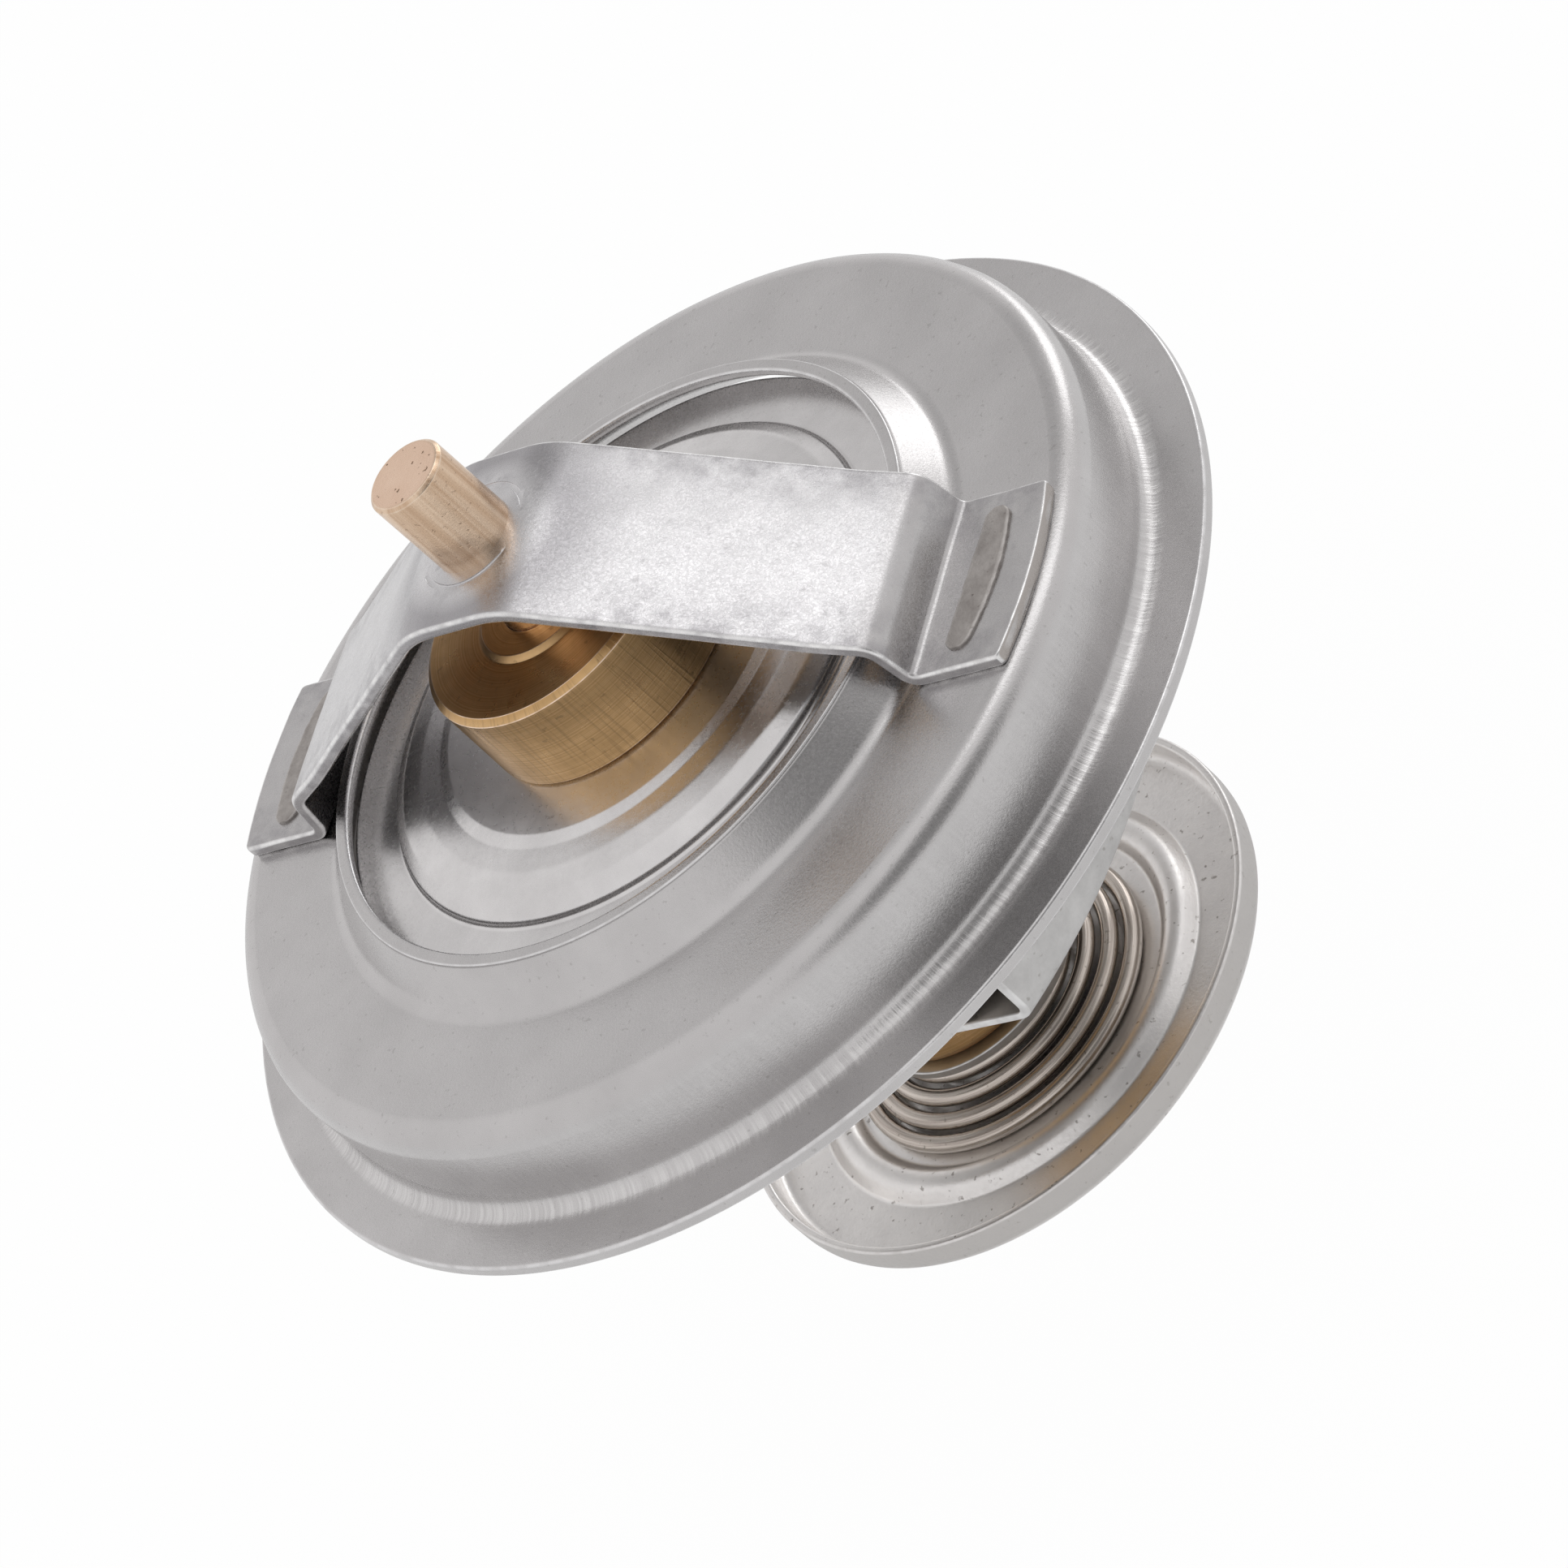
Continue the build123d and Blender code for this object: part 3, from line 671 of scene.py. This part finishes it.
def strap_section(y, inset):
    """Section of the strap from leg to leg, thinned by an inset at its cut edges."""
    round_x = sqrt(leg_radius**2 - y * y) - inset
    fold_x = fold_reach - fold_arc + sqrt(fold_arc**2 - y * y) - inset
    low = frame_under + inset
    face = [
        (-round_x, leg_top, 0),
        (-round_x, round_level, round_bend),
        (-fold_x, low, fold_bend),
        (fold_x, low, fold_bend),
        (round_x, round_level, round_bend),
        (round_x, leg_top, 0),
    ]
    corners = sheet_corners(face, frame_sheet - 2 * inset, 0)
    # Sections thinned at the cut edges count as worn edges with a painted highlight.
    worn_highlight = 0.9 if inset > 0.02 else 0.0
    return [(x, y, z, worn_highlight) for x, z, edge in rounded(corners)]


strap_sections = []
for step in range(-strap_rows - edge_rows, strap_rows + edge_rows + 1):
    if abs(step) <= strap_rows:
        strap_sections.append(strap_section((frame_half - strap_edge) * step / strap_rows, 0))
    else:
        turn = pi / 2 * (abs(step) - strap_rows) / edge_rows
        y = frame_half - strap_edge * (1 - sin(turn))
        inset = strap_edge * (1 - cos(turn)) * 0.9
        strap_sections.append(strap_section(y if step > 0 else -y, inset))
frame_finish, tree, shader = metal("frame_steel", 0.45)
marks = use(tree, sheet_marks, Mottle_Size=3.0, Grain_Size=0.3, Fleck_Size=0.8)
worn_highlight = use(tree, edge_wear_and_highlight)["Wear And Highlight"]
colour = tint(tree, ramp(tree, marks["Mottle"], 0.3, 0.7), (0.54, 0.535, 0.53), (0.68, 0.675, 0.67))
colour = tint(tree, maths(tree, "MULTIPLY", marks["Flecks"], 0.5), colour, (0.30, 0.28, 0.26))
# Worn edges painted pale: edge wear, and a painted highlight along them.
colour = tint(tree, worn_highlight, colour, (0.88, 0.88, 0.88))
tree.links.new(colour, shader["Base Color"])
tree.links.new(ramp(tree, marks["Grain"], 0.3, 0.7, 0.4, 0.55), shader["Roughness"])
emboss(tree, shader, marks["Grain"], 0.02, 0.6)
strap = shape("frame_strap", [swept(strap_sections)], frame_finish)
tool_low = frame_under - 2
tool_high = frame_under + 3
hole_tool = [(0, tool_low, 0), (cup_hole, tool_low, 0), (cup_hole, tool_high, 0), (0, tool_high, 0)]
punch(strap, hole_tool)
seat(strap, "housing", "lower_frame")

# Tenon ends of the same strap: pushed up through the flange and the bridge's
# feet and staked over, so that they are rough, pitted and a little brown.
head_half = 6.15
head_top = foot_top + 0.25
head_root = foot_top - 0.4
head_inner = leg_radius - frame_sheet - 1.05
head_skew = 0.04
head_rows = 80
head_corners = [(0, head_root, 0), (1, head_root, 0), (1, head_top, 0.12), (0, head_top, 0.12)]
head_outline = spaced(rounded(head_corners), 0.12)
head_forms = []
for side in (-1, 1):
    head_sections = []
    for step in range(head_rows + 1):
        y = -head_half * cos(pi * step / head_rows)
        bulge = max(1 - (y / head_half) ** 2, 0)
        fullness = min(bulge * 5, 1) ** 0.5
        width = 0.5 + 1.5 * fullness + 0.9 * bulge
        inner = head_inner + 0.9 * (1 - fullness) + head_skew * side * y
        section = []
        for across, up, worn_highlight in head_outline:
            rough = noise.fractal(Vector((across * side * 3, y, up)) * 2.2, 0.8, 2.0, 3)
            up = min(up + 0.05 * rough, head_top)
            ragged = 0.06 * noise.noise(Vector((y * 1.3, side * 5, across > 0.5)))
            reach = inner + across * width + ragged * bulge
            section.append((side * reach, y, up, worn_highlight * 0.7))
        head_sections.append(section)
    head_forms.append(swept(head_sections))
tenon_finish, tree, shader = metal("tenon_steel", 0.6)
marks = use(tree, sheet_marks, Mottle_Size=1.6, Grain_Size=0.2, Fleck_Size=0.5)
worn_highlight = use(tree, edge_wear_and_highlight, Amount=0.6)["Wear And Highlight"]
colour = tint(tree, ramp(tree, marks["Mottle"], 0.3, 0.7), (0.34, 0.315, 0.30), (0.52, 0.495, 0.475))
colour = tint(tree, maths(tree, "MULTIPLY", marks["Flecks"], 0.7), colour, (0.14, 0.12, 0.11))
# Worn edges painted pale: edge wear, and a painted highlight along them.
colour = tint(tree, worn_highlight, colour, (0.8, 0.78, 0.76))
tree.links.new(colour, shader["Base Color"])
emboss(tree, shader, marks["Grain"], 0.08, 0.9)
seat(shape("frame_tenons", head_forms, tenon_finish), "housing", "lower_frame")

# Piston pin: drawn steel rod with a bronze tint, pressed into the bridge's hub.
# The element climbs down it as it heats.
pin_low, pin_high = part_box("piston_pin")
pin_top = pin_high.z / mm
pin_end = pin_low.z / mm
pin_chamfer = 0.28
end_chamfer = 0.45
pin_corners = [
    (0, pin_end, 0),
    (pin_radius - end_chamfer, pin_end, 0.2),
    (pin_radius, pin_end + end_chamfer, 0.2),
    (pin_radius, pin_top - pin_chamfer, 0.2),
    (pin_radius - pin_chamfer, pin_top, 0.2),
    (0, pin_top, 0),
]
pin_finish, tree, shader = metal("pin_steel", 0.34)
marks = use(tree, sheet_marks, Mottle_Size=2.0, Grain_Size=0.2, Fleck_Size=0.45)
round_work = use(tree, round_marks, Stroke_Count=5.0, Stroke_Length=30.0)
worn_highlight = use(tree, edge_wear_and_highlight, Amount=0.45)["Wear And Highlight"]
on_end = ramp(tree, round_work["Radius"], 3.1, 2.8)
pitted = ramp(tree, marks["Flecks"], 0.0, 0.6)
pitted = maths(tree, "MULTIPLY", pitted, ramp(tree, on_end, 0, 1, 0.3, 1.0))
# Broad lengthwise bands round the pin, lighter and darker: faint drawing streaks, and painted
# reflection bands.
drawn = ramp(tree, round_work["Strokes"], 0.3, 0.7)
colour = tint(tree, drawn, (0.60, 0.41, 0.27), (0.88, 0.69, 0.52))
end_colour = tint(tree, marks["Mottle"], (0.80, 0.56, 0.41), (0.95, 0.72, 0.56))
colour = tint(tree, on_end, colour, end_colour)
colour = tint(tree, pitted, colour, (0.30, 0.19, 0.12))
# Worn edges painted pale: edge wear, and a painted highlight along them.
colour = tint(tree, worn_highlight, colour, (0.97, 0.86, 0.72))
tree.links.new(colour, shader["Base Color"])
tree.links.new(ramp(tree, marks["Grain"], 0.3, 0.7, 0.18, 0.32), shader["Roughness"])
relief = maths(tree, "SUBTRACT", maths(tree, "MULTIPLY", marks["Grain"], 0.3), pitted)
emboss(tree, shader, relief, 0.05, 0.7)
seat(shape("pin", [turned(rounded(pin_corners), 128)], pin_finish), "housing", "piston_pin")

# Guide: the turned brass top of the wax element.  Its shoulder sits on the
# valve plate, and its skirt is rolled under the cup's flange.
guide_low, guide_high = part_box("element_guide")
guide_radius = guide_high.x / mm
boss_top = guide_high.z / mm
skirt_end = guide_low.z / mm
boss_radius = 5.5
guide_top = boss_top - 0.4
guide_height = 7.8
shoulder = guide_top - guide_height
guide_bore = pin_radius + 0.03
skirt_radius = 10.2
rolled_radius = 9.05
hollow_radius = 9.6
cup_seat = skirt_end + 0.8
guide_corners = [
    (guide_bore, boss_top, 0.12),
    (boss_radius, boss_top, 0.15),
    (boss_radius + 0.5, guide_top, 0.2),
    (guide_radius - 0.72, guide_top, 0.12),
    (guide_radius - 0.19, guide_top - 0.42, 0.15),
    (guide_radius, shoulder + 0.25, 0.1),
    (guide_radius - 0.35, shoulder, 0.1),
    (skirt_radius, shoulder, 0),
    (skirt_radius, skirt_end, 0.55),
    (rolled_radius, skirt_end, 0.1),
    (rolled_radius, cup_seat, 0),
    (hollow_radius, cup_seat, 0),
    (hollow_radius, skirt_end + 3.0, 0),
    (guide_bore, skirt_end + 6.0, 0),
]
brass_finish, tree, shader = metal("element_brass", 0.3)
marks = use(tree, sheet_marks, Mottle_Size=3.0, Grain_Size=0.3, Fleck_Size=0.6)
round_work = use(tree, round_marks, Ring_Width=0.12, Stroke_Count=45.0, Stroke_Length=9.0)
worn_highlight = use(tree, edge_wear_and_highlight)["Wear And Highlight"]
on_wall = ramp(tree, round_work["Radius"], guide_radius - 1, guide_radius - 0.5)
scored = maths(tree, "MULTIPLY", ramp(tree, round_work["Strokes"], 0.52, 0.66), on_wall)
colour = tint(tree, ramp(tree, round_work["Rings"], 0.3, 0.7), (0.60, 0.37, 0.16), (0.78, 0.53, 0.28))
colour = tint(tree, ramp(tree, marks["Mottle"], 0.4, 0.7, 0, 0.45), colour, (0.44, 0.28, 0.13))
colour = tint(tree, maths(tree, "MULTIPLY", scored, 0.4), colour, (0.34, 0.22, 0.11))
colour = tint(tree, maths(tree, "MULTIPLY", marks["Flecks"], 0.45), colour, (0.28, 0.18, 0.09))
# Worn edges painted bright, the boss's edges among them: edge wear, and a painted highlight along them.
colour = tint(tree, worn_highlight, colour, (1.0, 0.80, 0.64))
tree.links.new(colour, shader["Base Color"])
tree.links.new(ramp(tree, marks["Mottle"], 0.3, 0.7, 0.24, 0.38), shader["Roughness"])
relief = maths(tree, "ADD", maths(tree, "MULTIPLY", round_work["Rings"], 0.4), scored)
emboss(tree, shader, relief, 0.015, 0.6)
seat(shape("guide", [turned(rounded(guide_corners), 256)], brass_finish), "element", "element_guide")

# Cup: thin drawn brass, filled with wax.  Its brim is held in the guide's
# rolled skirt, and it slides through the lower frame's hole.
cup_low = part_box("element_cup")[0]
cup_base = cup_low.z / mm
cup_radius = 9.0
cup_inside = 8.1
cup_brim = 9.55
stem_seat = 3.0
cup_corners = [
    (stem_seat, cup_base, 0.1),
    (cup_radius, cup_base, 1.2),
    (cup_radius, cup_seat, 0.15),
    (cup_brim, cup_seat, 0),
    (cup_brim, cup_seat + 0.8, 0),
    (cup_inside, cup_seat + 0.8, 0),
    (cup_inside, cup_base + 2.5, 0),
    (stem_seat, cup_base + 2.5, 0),
]
seat(shape("cup", [turned(rounded(cup_corners), 192)], brass_finish), "element", "element_cup")

# Main valve: a pressed and polished steel plate, raised in the middle, that
# closes inside the flange's collar and is clamped under the guide's shoulder.
plate_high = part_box("main_valve_plate")[1]
plate_sheet = 1.2
rim_radius = plate_high.x / mm
plate_top = plate_high.z / mm
rim_top = plate_top - 2.2
rim_width = 4.52
riser = rim_radius - rim_width
ledge = riser - 6.6
plate_hole = 10.3
plate_corners = [
    (rim_radius, rim_top, 0.35),
    (riser, rim_top, 0.45),
    (riser - 0.1, rim_top + 0.6, 0.5),
    (riser - 1.5, plate_top - 0.85, 1.8),
    (riser - 3.6, plate_top - 0.42, 3.0),
    (ledge + 1.0, plate_top - 0.28, 1.2),
    (ledge, plate_top, 0.8),
    (plate_hole, plate_top, 0.1),
    (plate_hole, plate_top - plate_sheet, 0.1),
    (ledge, plate_top - plate_sheet, 1.0),
    (riser - plate_sheet, rim_top - plate_sheet, 0.8),
    (rim_radius, rim_top - plate_sheet, 0.35),
]
valve_finish, tree, shader = metal("valve_steel", 0.3)
marks = use(tree, sheet_marks, Mottle_Size=5.0, Grain_Size=0.4, Fleck_Size=1.0)
round_work = use(tree, round_marks, Ring_Width=0.5, Stroke_Count=60.0, Stroke_Length=7.0)
worn_highlight = use(tree, edge_wear_and_highlight, Amount=0.5)["Wear And Highlight"]
colour = tint(tree, ramp(tree, marks["Mottle"], 0.3, 0.7), (0.66, 0.65, 0.65), (0.78, 0.77, 0.77))
# Worn edges painted pale: edge wear, and a painted highlight along them.
colour = tint(tree, worn_highlight, colour, (0.75, 0.75, 0.76))
tree.links.new(colour, shader["Base Color"])
polish = ramp(tree, marks["Grain"], 0.3, 0.7, 0.2, 0.3)
ledge_dulling = ramp(tree, round_work["Radius"], ledge, ledge + 1, 1.25, 1.0)
tree.links.new(maths(tree, "MULTIPLY", ledge_dulling, polish), shader["Roughness"])
relief = maths(tree, "ADD", marks["Grain"], maths(tree, "MULTIPLY", round_work["Rings"], 0.2))
emboss(tree, shader, relief, 0.012, 0.5)
seat(shape("valve", [turned(rounded(plate_corners), 288)], valve_finish), "element", "main_valve_plate")


# Main spring: a tapered coil of thick drawn wire, dark and pitted, standing on
# the frame's floor.  It is squeezed between there and the valve plate.
def eased(turn, start):
    """Turns past a start, eased in so that the wire has no kink."""
    blend = 0.15
    past = turn - start
    if past < -blend:
        return 0
    if past < blend:
        return (past + blend) ** 2 / (4 * blend)
    return past


def coil_path(name, radii, levels, turns, flats, hold):
    """A curve up a tapered coil that lies flat at its ends and narrows after a hold."""
    coil_start = radians(141)
    turn_steps = 72
    steps = round(turns * turn_steps)
    pitch = (levels[1] - levels[0]) / (turns - sum(flats))
    taper = (radii[1] - radii[0]) / (turns - hold)
    data = bpy.data.curves.new(name, "CURVE")
    data.dimensions = "3D"
    line = data.splines.new("POLY")
    line.points.add(steps)
    for step in range(steps + 1):
        turn = step * turns / steps
        climb = eased(turn, flats[0]) - eased(turn, turns - flats[1])
        radius = radii[0] + taper * eased(turn, hold)
        angle = coil_start + 2 * pi * turn
        place = Vector((radius * cos(angle), radius * sin(angle), levels[0] + pitch * climb)) * mm
        line.points[step].co = (*place, 1)
    path = bpy.data.objects.new(name, data)
    main_collection.objects.link(path)
    return path


def wire_tree():
    """Geometry nodes that draw round wire along a curve and note where each point lies."""
    tree = bpy.data.node_groups.new("wire", "GeometryNodeTree")
    tree.interface.new_socket("Path", in_out="INPUT", socket_type="NodeSocketGeometry")
    tree.interface.new_socket("Wire Radius", in_out="INPUT", socket_type="NodeSocketFloat")
    tree.interface.new_socket("Sides", in_out="INPUT", socket_type="NodeSocketInt")
    tree.interface.new_socket("Finish", in_out="INPUT", socket_type="NodeSocketMaterial")
    tree.interface.new_socket("Wire", in_out="OUTPUT", socket_type="NodeSocketGeometry")
    given = tree.nodes.new("NodeGroupInput").outputs
    along = add(
        tree,
        "GeometryNodeStoreNamedAttribute",
        {"data_type": "FLOAT", "domain": "POINT"},
        Geometry=given["Path"],
        Name="along",
        Value=add(tree, "GeometryNodeSplineParameter").outputs["Length"],
    )
    section = add(tree, "GeometryNodeCurvePrimitiveCircle", Resolution=given["Sides"])
    tree.links.new(given["Wire Radius"], section.inputs["Radius"])
    around = add(
        tree,
        "GeometryNodeStoreNamedAttribute",
        {"data_type": "FLOAT_VECTOR", "domain": "POINT"},
        Geometry=section.outputs["Curve"],
        Name="around",
        Value=add(tree, "GeometryNodeInputPosition").outputs["Position"],
    )
    drawn = add(tree, "GeometryNodeCurveToMesh", Fill_Caps=True)
    tree.links.new(along.outputs["Geometry"], drawn.inputs["Curve"])
    tree.links.new(around.outputs["Geometry"], drawn.inputs["Profile Curve"])
    smooth = add(tree, "GeometryNodeSetShadeSmooth", Geometry=drawn.outputs["Mesh"])
    real = add(tree, "GeometryNodeRealizeInstances", Geometry=smooth.outputs["Geometry"])
    finished = add(tree, "GeometryNodeSetMaterial", Geometry=real.outputs["Geometry"])
    tree.links.new(given["Finish"], finished.inputs["Material"])
    leave = tree.nodes.new("NodeGroupOutput").inputs
    tree.links.new(finished.outputs["Geometry"], leave["Wire"])
    return tree


def coil(name, path, wire, sides, finish, node):
    """Draws wire along a path and makes it a plain mesh in place of its CAD node."""
    draw = path.modifiers.new("wire", "NODES")
    draw.node_group = wire_nodes
    given = {"Wire Radius": wire / 2 * mm, "Sides": sides, "Finish": finish}
    for item in wire_nodes.interface.items_tree:
        if item.name in given:
            draw[item.identifier] = given[item.name]
    mesh = baked(path)
    mesh.name = name
    bpy.data.objects.remove(path)
    made = bpy.data.objects.new(name, mesh)
    main_collection.objects.link(made)
    seat(made, "element", node)
    return made


# Marks of drawn wire: streaks that run along it.
wire_marks, marks_in, marks_out = group("wire_marks", {"Streaks": 4.0, "Length": 9.0}, ("Streaks",))
wire_round = add(wire_marks, "ShaderNodeAttribute", {"attribute_name": "around"}).outputs["Vector"]
wire_turn = add(wire_marks, "ShaderNodeVectorMath", {"operation": "NORMALIZE"})
wire_marks.links.new(wire_round, wire_turn.inputs[0])
wire_turn = add(wire_marks, "ShaderNodeSeparateXYZ", Vector=wire_turn.outputs["Vector"]).outputs
wire_along = add(wire_marks, "ShaderNodeAttribute", {"attribute_name": "along"}).outputs["Fac"]
wire_along = maths(wire_marks, "DIVIDE", wire_along, mm)
wire_place = add(
    wire_marks,
    "ShaderNodeCombineXYZ",
    X=maths(wire_marks, "MULTIPLY", wire_turn["X"], marks_in["Streaks"]),
    Y=maths(wire_marks, "MULTIPLY", wire_turn["Y"], marks_in["Streaks"]),
    Z=maths(wire_marks, "DIVIDE", wire_along, marks_in["Length"]),
).outputs["Vector"]
wire_streak = add(wire_marks, "ShaderNodeTexNoise", Scale=1.0, Detail=4.0, Roughness=0.6)
wire_marks.links.new(wire_place, wire_streak.inputs["Vector"])
wire_marks.links.new(wire_streak.outputs["Fac"], marks_out["Streaks"])

spring_finish, tree, shader = metal("spring_steel", 0.24)
marks = use(tree, sheet_marks, Mottle_Size=2.5, Grain_Size=0.25, Fleck_Size=0.55)
streaks = use(tree, wire_marks)["Streaks"]
colour = tint(tree, ramp(tree, streaks, 0.35, 0.65), (0.42, 0.37, 0.33), (0.74, 0.68, 0.62))
colour = tint(tree, maths(tree, "MULTIPLY", marks["Flecks"], 0.6), colour, (0.14, 0.12, 0.10))
tree.links.new(colour, shader["Base Color"])
tree.links.new(ramp(tree, streaks, 0.3, 0.7, 0.16, 0.30), shader["Roughness"])
emboss(tree, shader, streaks, 0.02, 0.6)
wire_nodes = wire_tree()
main_low, main_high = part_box("main_spring")
main_wire = 3.0
main_top = main_high.z / mm
frame_floor = main_low.z / mm
main_slack = 0.1
main_radii = (fold_reach - frame_sheet - main_slack - main_wire / 2, rim_radius - 2.2)
main_levels = (frame_floor + main_wire / 2, main_top - main_wire / 2)
main_path = coil_path("main_path", main_radii, main_levels, 4.0, (0.5, 0.5), 0.5)
main_coil = coil("main_coil", main_path, main_wire, 40, spring_finish, "main_spring")
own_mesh(main_coil)

# Spring seat washer: flat punched steel under the cup, and the top seat of the
# bypass spring.
washer_low, washer_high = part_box("spring_seat_washer")
washer_radius = washer_high.x / mm
washer_under = washer_low.z / mm
washer_top = washer_high.z / mm
stem_hole = 3.05
washer_corners = [
    (stem_hole, washer_under, 0.12),
    (washer_radius, washer_under, 0.15),
    (washer_radius, washer_top, 0.15),
    (stem_hole, washer_top, 0.12),
]
washer_finish, tree, shader = metal("washer_steel", 0.42)
marks = use(tree, sheet_marks, Mottle_Size=3.0)
worn_highlight = use(tree, edge_wear_and_highlight)["Wear And Highlight"]
colour = tint(tree, ramp(tree, marks["Mottle"], 0.3, 0.7), (0.40, 0.39, 0.38), (0.54, 0.53, 0.52))
# Worn edges painted pale: edge wear, and a painted highlight along them.
colour = tint(tree, worn_highlight, colour, (0.78, 0.77, 0.76))
tree.links.new(colour, shader["Base Color"])
emboss(tree, shader, marks["Grain"], 0.015, 0.6)
washer_form = turned(rounded(washer_corners), 160)
seat(shape("washer", [washer_form], washer_finish), "element", "spring_seat_washer")

# Bypass disc: a shallow pressed dish with a rim, a round ridge that keeps the
# spring in its place and a raised hub that slides on the stem.
disc_low, disc_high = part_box("bypass_disc")
disc_radius = disc_high.x / mm
disc_top = disc_high.z / mm
disc_sheet = 0.7
disc_floor = disc_low.z / mm + disc_sheet
disc_wall = disc_radius - disc_sheet
ridge_outside = 18.3
ridge_inside = 14.8
ridge_top = disc_floor + 1.3
raised_foot = 7.6
raised_head = 5.6
raised_top = disc_floor + 1.6
disc_face = [
    (disc_wall, disc_top, 0),
    (disc_wall, disc_floor, 0.8),
    (ridge_outside, disc_floor, 0.5),
    (ridge_outside - 1.2, ridge_top, 2.2),
    (ridge_inside + 1.0, ridge_top, 2.2),
    (ridge_inside, disc_floor, 0.6),
    (raised_foot, disc_floor, 0.8),
    (raised_head, raised_top, 0.8),
    (stem_hole, raised_top, 0),
]
bypass_finish, tree, shader = metal("bypass_steel", 0.38)
marks = use(tree, sheet_marks, Mottle_Size=4.0, Grain_Size=0.3, Fleck_Size=0.6)
round_work = use(tree, round_marks, Ring_Width=0.4, Stroke_Count=45.0, Stroke_Length=4.0)
worn_highlight = use(tree, edge_wear_and_highlight, Amount=0.7)["Wear And Highlight"]
colour = tint(tree, ramp(tree, marks["Mottle"], 0.3, 0.7), (0.84, 0.825, 0.815), (0.94, 0.925, 0.91))
colour = tint(tree, maths(tree, "MULTIPLY", marks["Flecks"], 0.7), colour, (0.26, 0.23, 0.21))
# Painted shade: the outer wall of the rim is darkened.
painted_rim_shade = ramp(tree, round_work["Radius"], disc_radius - 0.35, disc_radius - 0.05)
colour = tint(tree, maths(tree, "MULTIPLY", painted_rim_shade, 0.75), colour, (0.52, 0.50, 0.485))
# Worn edges painted pale: edge wear, and a painted highlight along them.
colour = tint(tree, worn_highlight, colour, (0.92, 0.91, 0.90))
tree.links.new(colour, shader["Base Color"])
tree.links.new(ramp(tree, marks["Grain"], 0.3, 0.7, 0.28, 0.42), shader["Roughness"])
emboss(tree, shader, marks["Grain"], 0.025, 0.7)
dish_outline = rounded(sheet_corners(disc_face, disc_sheet, 0.25))
seat(shape("bypass_dish", [turned(dish_outline, 256)], bypass_finish), "bypass", "bypass_disc")

# Bypass spring: fine drawn wire in a flat spiral cone, between the washer and
# the dish.  Its turns sink into one another as the disc is pushed up.
bypass_wire = 1.45
bypass_foot = disc_floor + 0.02
bypass_head = washer_under
bypass_radii = (ridge_inside - 0.4 - bypass_wire / 2, washer_radius - 2.25)
bypass_levels = (bypass_foot + bypass_wire / 2, bypass_head - bypass_wire / 2)
bypass_path = coil_path("bypass_path", bypass_radii, bypass_levels, 4.0, (0.5, 0.15), 0)
bypass_coil = coil("bypass_coil", bypass_path, bypass_wire, 28, spring_finish, "bypass_spring")
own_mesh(bypass_coil)


# Stem and retainer: the steel rod under the cup that the bypass disc slides
# on, and the washer behind its headed end.  The CAD solids are shown.
def clad(node, finish):
    """Puts a finish on a CAD solid that is shown as it is."""
    nodes[node].data.materials.clear()
    nodes[node].data.materials.append(finish)


clad("bypass_stem", pin_finish)
clad("stem_retainer", washer_finish)


# Inside the element: wax, rubber diaphragm and plug, and a plastic disc under
# the pin.  They are sealed in, so plain CAD solids with their own finishes do.
def filling(node, name, base, other, roughness, mottle):
    """A soft inner solid's material, lightly mottled."""
    finish, tree, shader = metal(name, roughness, metallic=0.0)
    marks = use(tree, sheet_marks, Mottle_Size=mottle)
    colour = tint(tree, ramp(tree, marks["Mottle"], 0.3, 0.7), base, other)
    tree.links.new(colour, shader["Base Color"])
    clad(node, finish)


filling("wax_charge", "wax", (0.66, 0.44, 0.29), (0.78, 0.56, 0.40), 0.5, 3.0)
filling("diaphragm", "diaphragm_rubber", (0.04, 0.04, 0.04), (0.07, 0.07, 0.07), 0.7, 1.5)
filling("rubber_plug", "plug_rubber", (0.05, 0.045, 0.04), (0.08, 0.075, 0.07), 0.65, 1.0)
filling("support_disc", "support_plastic", (0.82, 0.81, 0.77), (0.88, 0.87, 0.84), 0.4, 2.0)

bpy.context.scene.view_settings.view_transform = "Standard"
